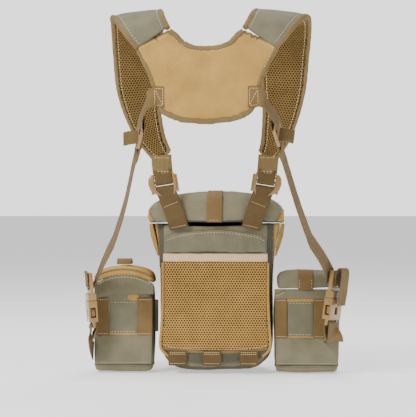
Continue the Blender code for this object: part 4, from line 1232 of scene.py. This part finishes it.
def build_pouch(tag):
    name = f"pouch_{tag}_body"
    low, high = box(name)
    body = refined(name, 2)
    inflate(body, 3.0, 1.2)
    wrinkle(body, 0.8, 24.0, (1.0, 1.0, 1.5), 5.0 if tag == "l" else 6.0,
            where=lambda p: 1.0 if p.z < 10.0 else 0.4)
    dress(body, GREY, name, (name,))
    skin = Skin(body)

    # welt round the foot
    x0, x1, y0, y1 = low.x, high.x, low.y, high.y
    ring = []
    for cx, cy, start in ((x1 - 9, y1 - 9, 0), (x0 + 9, y1 - 9, 90),
                          (x0 + 9, y0 + 9, 180), (x1 - 9, y0 + 9, 270)):
        for k in range(7):
            a = math.radians(start + 15 * k)
            ring.append(Vector((cx + 9 * math.cos(a), cy + 9 * math.sin(a), low.z + 7.0)))
    ring = arc_steps(ring + [ring[0]], 2.2)[:-1]
    centre = Vector(((x0 + x1) / 2, (y0 + y1) / 2, low.z + 7.0))
    rim = [skin.at(centre + (p - centre) * 1.2, centre - p) for p in ring]
    roll(f"pouch_{tag}_welt", rim, 3.6, 1.3, GREY_PAD, name, pucker=0.2, closed=True)

    # the two vertical webbings and the panel between them
    for number in (1, 2):
        node_name = f"pouch_{tag}_web_{number}"
        a, b = box(node_name)
        rings, coords = [], []
        for j in range(31):
            z = b.z + (a.z - b.z) * j / 30
            ring, row = [], []
            for u, v in full_section(SELVEDGE):
                x = (a.x + b.x) / 2 + u * (b.x - a.x) / 2
                lift = 0.25 * noise.noise(Vector((x / 8, z / 8, number)))
                ring.append((x, (a.y + b.y) / 2 - v * 0.85 - lift, z))
                row.append((u * (b.x - a.x) / 2, -z, v))
            rings.append(ring)
            coords.append(row)
        web = settle(f"{node_name}.woven", loft(rings, coords), WEBBING, node_name, (node_name,))
        web_skin = Skin(web)
        for k, z in enumerate((b.z - 2.0, a.z + 2.0)):
            path = [(a.x + 1.0, a.y - 2.0, z), (b.x - 1.0, a.y - 2.0, z)]
            stitches(f"{node_name}.row_{k}", web_skin.trace(path, FRONT, 1.2, 0.1), node_name,
                     length=2.0, gap=0.7)
    node_name = f"pouch_{tag}_panel"
    a, b = box(node_name)
    panel = strip_panel(f"{node_name}.cloth", [(a.x, a.z), (b.x, a.z), (b.x, b.z), (a.x, b.z)], a.y + 0.2,
                        b.y - a.y - 0.3, GREY_PAD, node_name, (node_name,), 0.9, 3.0)
    panel_skin = Skin(panel)
    for k, z in enumerate((b.z - 2.5, a.z + 2.5)):
        path = [(a.x + 1.0, a.y - 3.0, z), (b.x - 1.0, a.y - 3.0, z)]
        stitches(f"{node_name}.row_{k}", panel_skin.trace(path, FRONT, 1.4, 0.1), node_name, THREAD)
    # light strips above and below the panel, between the webbings
    x0, x1 = box(f"pouch_{tag}_web_1")[1].x - 1.0, box(f"pouch_{tag}_web_2")[0].x + 1.0
    for k, (z0, z1) in enumerate(((b.z - 1.0, b.z + 7.5), (a.z - 3.4, a.z + 1.0))):
        outline = [(x0, z0), (x1, z0), (x1, z1), (x0, z1)]
        strip_panel(f"pouch_{tag}_strip_{k}", outline, 8.9, 0.8, SUEDE, name, crown=0.2,
                    seed=k + 1.0)
    # smooth panel below the webbings
    web_low = box(f"pouch_{tag}_web_1")[0]
    z1 = web_low.z + 0.8
    outline = [(low.x + 3.0, low.z + 9.0), (high.x - 3.0, low.z + 9.0), (high.x - 1.4, z1), (low.x + 1.4, z1)]
    lower = strip_panel(f"pouch_{tag}_lower_panel", outline, 7.6, 2.2, GREY, name,
                        crown=1.3, seed=8.0)
    lower_skin = Skin(lower)
    path = [(low.x + 5.0, 4.0, low.z + 11.0), (high.x - 5.0, 4.0, low.z + 11.0)]
    stitches(f"pouch_{tag}_lower_row", lower_skin.trace(path, FRONT, 1.5, 0.1), name, THREAD_GREY, radius=0.3)
    for node_name in (f"pouch_{tag}_tie",):
        tie = refined(node_name, 2)
        dress(tie, GREY, node_name, (node_name,))
    return skin


def arched_band():
    """The grey band across the left pouch's mouth, stitched along its upper edge."""
    low, high = box("pouch_l_body")
    middle, half = (low.x + high.x) / 2 + 1.0, (high.x - low.x) / 2 - 0.8
    cols = 40
    rings = []
    for i in range(cols + 1):
        u = -1.0 + 2.0 * i / cols
        x = middle + half * u
        top = 19.6 + 11.4 * (1 - u * u) + 0.4 * noise.noise(Vector((x / 9, 1, 1)))
        foot = -0.6 + 7.0 * (1 - max(0.0, -u) ** 2)
        ring = []
        for share, y in ((0.0, 9.5), (0.0, 8.6), (0.05, 7.9), (0.3, 7.1), (0.7, 7.0), (0.95, 7.7),
                         (1.0, 8.5), (1.0, 9.5)):
            sway = 0.35 * noise.noise(Vector((x / 7, share * 2, 4)))
            ring.append((x, y + sway, foot + (top - foot) * share))
        rings.append(ring)
    band = settle("pouch_l_arched_band", loft(rings), GREY, "pouch_l_body")
    skin = Skin(band)
    path = []
    for k in range(13):
        u = -0.94 + 1.88 * k / 12
        path.append((middle + half * u, 4.0, 17.0 + 11.4 * (1 - u * u)))
    stitches("pouch_l_band_stitches", skin.trace(path, FRONT, 1.5, 0.1), "pouch_l_body")


def collar():
    """The grey collar under the right pouch's rolled top, with its slanting stitched edge."""
    low, high = box("pouch_r_body")
    outline = [(low.x + 0.8, 0.8), (high.x - 0.8, 0.8), (high.x - 0.8, 13.4), (low.x + 0.8, 13.4)]
    band = strip_panel("pouch_r_collar", outline, 7.7, 2.0, GREY, "pouch_r_body",
                       crown=0.8, seed=2.0)
    skin = Skin(band)
    path = [(low.x + 1.5, 4.0, 7.0), (low.x + 8.0, 4.0, 9.0), (low.x + 15.0, 4.0, 12.6)]
    roll("pouch_r_collar_edge", skin.trace(path, FRONT, 1.5), 2.4, 0.9, BINDING, "pouch_r_body", pucker=0.3)
    path = [(x, y, z - 2.2) for x, y, z in path]
    stitches("pouch_r_collar_stitches", skin.trace(path, FRONT, 1.5, 0.1), "pouch_r_body")


def build_pouches():
    build_pouch("l")
    build_pouch("r")
    arched_band()
    collar()

    lid = refined("pouch_l_lid", 2)
    inflate(lid, 4.0, 1.2)
    wrinkle(lid, 0.6, 20.0, (1.0, 1.0, 1.0), 13.0)
    dress(lid, SUEDE, "pouch_l_lid", ("pouch_l_lid",))
    skin = Skin(lid)
    low, high = box("pouch_l_lid")
    middle = (low.x + high.x) / 2
    half = (high.x - low.x) / 2
    for k, lift in enumerate((2.2, 8.6)):
        arch = [(middle + half * u * 0.96, low.y - 2.0, low.z + lift + 10.0 * (1 - u * u)) for u in
                (-1.0, -0.75, -0.5, -0.25, 0.0, 0.25, 0.5, 0.75, 1.0)]
        if k:
            roll("pouch_l_lid_piping", skin.trace(arch, FRONT, 1.5), 3.0, 1.3, BINDING, "pouch_l_lid",
                 pucker=0.2)
        else:
            stitches("pouch_l_lid_stitches", skin.trace(arch, FRONT, 1.5, 0.1), "pouch_l_lid")
    webbing("pouch_l_loop", step=1.0, toward=Vector((1.0, 0.0, 0.0)))

    lid = refined("pouch_r_lid", 2)
    inflate(lid, 4.0, 1.5)
    wrinkle(lid, 0.9, 16.0, (1.6, 1.0, 1.0), 17.0)
    dress(lid, GREY, "pouch_r_lid", ("pouch_r_lid",))
    tab, _ = webbing("pouch_r_lid_tab", step=1.2, toward=-UP)
    skin = Skin(tab)
    a, b = box("pouch_r_lid_tab")
    for k, x in enumerate((a.x + 1.6, b.x - 1.6)):
        path = [(x, a.y - 1.0, 14.0), (x, a.y - 1.0, 22.0), (x, a.y - 1.0, 29.0)]
        stitches(f"pouch_r_lid_tab.row_{k}", skin.trace(path, FRONT, 1.5, 0.1), "pouch_r_lid_tab")

    for node_name, mat, slot in (("zip_slider", ZINC, "zinc"), ("zip_pull", CORD, "cord")):
        piece = refined(node_name, 2)
        dress(piece, mat, node_name, (node_name,))


# ---------------------------------------------------------------- webbing and buckles

def eased_run(line, begin, finish, pull):
    """The same line with the stretch between two lengths along it curved down into the buckle."""
    first = next(i for i, station in enumerate(line) if station[5] > begin)
    last = next(i for i, station in enumerate(line) if station[5] > finish)
    start, stop = line[first], line[last]
    count = last - first
    out = list(line)
    for k in range(1, count):
        t = k / count
        centre = start[0] * (1 - t) ** 2 + pull * (2 * t * (1 - t)) + stop[0] * t * t
        along = start[5] + (stop[5] - start[5]) * t
        out[first + k] = (centre, start[1].slerp(stop[1], t), start[2], start[3], start[4], along)
    for i in range(first + 1, len(out) - 1):
        centre, across, face, width, thick, along = out[i]
        tangent = (out[i + 1][0] - out[i - 1][0]).normalized()
        if i < last:
            across = (across - tangent * across.dot(tangent)).normalized()
            face = across.cross(tangent)
        out[i] = (centre, across, face if face.dot(out[i - 1][2]) > 0 else -face, width, thick, along)
    return out


def build_side_straps():
    for tag in SIDES:
        name = f"side_strap_{tag}"
        line = eased_run(line_of(name, step=2.0), 200.0, 285.0, Vector((mirror(tag) * 142.0, -26.0, 46.0)))
        strap = sweep(f"{name}.woven", line, WEBBING, None, "webbing", (name,), wave=0.25)
        low, high = box(f"buckle_plug_{tag}")
        top = Vector(((low.x + high.x) / 2, (low.y + high.y) / 2, high.z))
        middle = min(line, key=lambda st: abs(st[0].z - 105.0))[0]
        foot = min(line, key=lambda st: (st[0] - top).length)[0]
        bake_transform(strap, "root", f"plug_{tag}", start=tuple(middle * MM), end=tuple(foot * MM))
        webbing(f"socket_tab_{tag}", step=1.5)
        keeper = refined(f"strap_keeper_{tag}", 2)
        dress(keeper, WEBBING, f"strap_keeper_{tag}", (f"strap_keeper_{tag}",))


def build_plastic():
    """Every moulded piece: the frame's shape with rounded edges."""
    names = [n for n in sorted(NODES) if "buckle" in n or "lock" in n]
    for name in names:
        piece = refined(name, 0, quads=False)
        bm = bmesh.new()
        bm.from_mesh(piece.data)
        bmesh.ops.dissolve_limit(bm, angle_limit=0.02, verts=bm.verts, edges=bm.edges)
        bm.to_mesh(piece.data)
        bm.free()
        soften(piece, 0.35)
        dress(piece, ACETAL, name, (name,), 35.0)


# ---------------------------------------------------------------- stage

def build_stage():
    low = Vector(CAD_BOX[0])
    mesh = bpy.data.meshes.new("floor")
    bm = bmesh.new()
    z = low.z - 0.003
    corners = [(x * FLOOR_REACH, y * FLOOR_REACH, z) for x, y in ((-1, -1), (1, -1), (1, 1), (-1, 1))]
    bm.faces.new([bm.verts.new(c) for c in corners])
    bm.to_mesh(mesh)
    bm.free()
    floor = bpy.data.objects.new("floor", mesh)
    bpy.context.scene.collection.objects.link(floor)
    pale, tree, shader = start_material("pale_floor", 0.9, specular=0.1)
    grain = noise_map(tree, 3.0, 2.0)
    tree.links.new(ramp(tree, grain, ((0.3, (0.80, 0.80, 0.80)), (0.7, (0.82, 0.82, 0.82)))),
                   shader.inputs["Base Color"])
    shader.inputs["Emission Color"].default_value = (1.0, 1.0, 1.0, 1.0)
    shader.inputs["Emission Strength"].default_value = 0.62
    mesh.materials.append(pale)

    world = bpy.data.worlds.new("studio")
    world.use_nodes = True
    tree = world.node_tree
    ambient = tree.nodes["Background"]
    ambient.inputs["Color"].default_value = (0.95, 0.97, 1.0, 1.0)
    ambient.inputs["Strength"].default_value = 0.42
    seen = node(tree, "ShaderNodeBackground", Color=(1.0, 1.0, 1.0, 1.0), Strength=1.9)
    choice = tree.nodes.new("ShaderNodeMixShader")
    path = tree.nodes.new("ShaderNodeLightPath")
    tree.links.new(path.outputs["Is Camera Ray"], choice.inputs[0])
    tree.links.new(ambient.outputs[0], choice.inputs[1])
    tree.links.new(seen.outputs[0], choice.inputs[2])
    tree.links.new(choice.outputs[0], tree.nodes["World Output"].inputs["Surface"])
    bpy.context.scene.world = world
    aim = Vector((0.0, 0.0, 0.10))
    for name, spot, size, power, tint in (
            ("key", (-1.1, -1.6, 1.5), 0.8, 60.0, (1.0, 0.98, 0.94)),
            ("fill", (1.7, -1.2, 0.6), 1.6, 16.0, (0.95, 0.97, 1.0)),
            ("top", (0.1, 0.5, 1.9), 1.2, 34.0, (1.0, 1.0, 1.0))):
        light = bpy.data.lights.new(name, "AREA")
        light.size = size
        light.energy = power
        light.color = tint
        lamp = bpy.data.objects.new(name, light)
        lamp.location = spot
        lamp.rotation_euler = (aim - Vector(spot)).to_track_quat("-Z", "Y").to_euler()
        bpy.context.scene.collection.objects.link(lamp)

    camera = bpy.data.cameras.new("camera")
    camera.sensor_fit = "HORIZONTAL"
    camera.sensor_width = 36.0
    camera.lens = LENS
    eye = bpy.data.objects.new("camera", camera)
    eye.location = CAMERA_AT
    eye.rotation_euler = (math.radians(90.0), 0.0, CAMERA_TURN)
    bpy.context.scene.collection.objects.link(eye)
    bpy.context.scene.camera = eye


build_stage()
build_yoke()
build_yoke_webs()
build_shoulder_straps()
build_chest_side()
build_body()
build_back()
build_mesh_pocket()
build_bottom_band()
build_lid()
build_front()
build_pouches()
build_side_straps()
build_plastic()
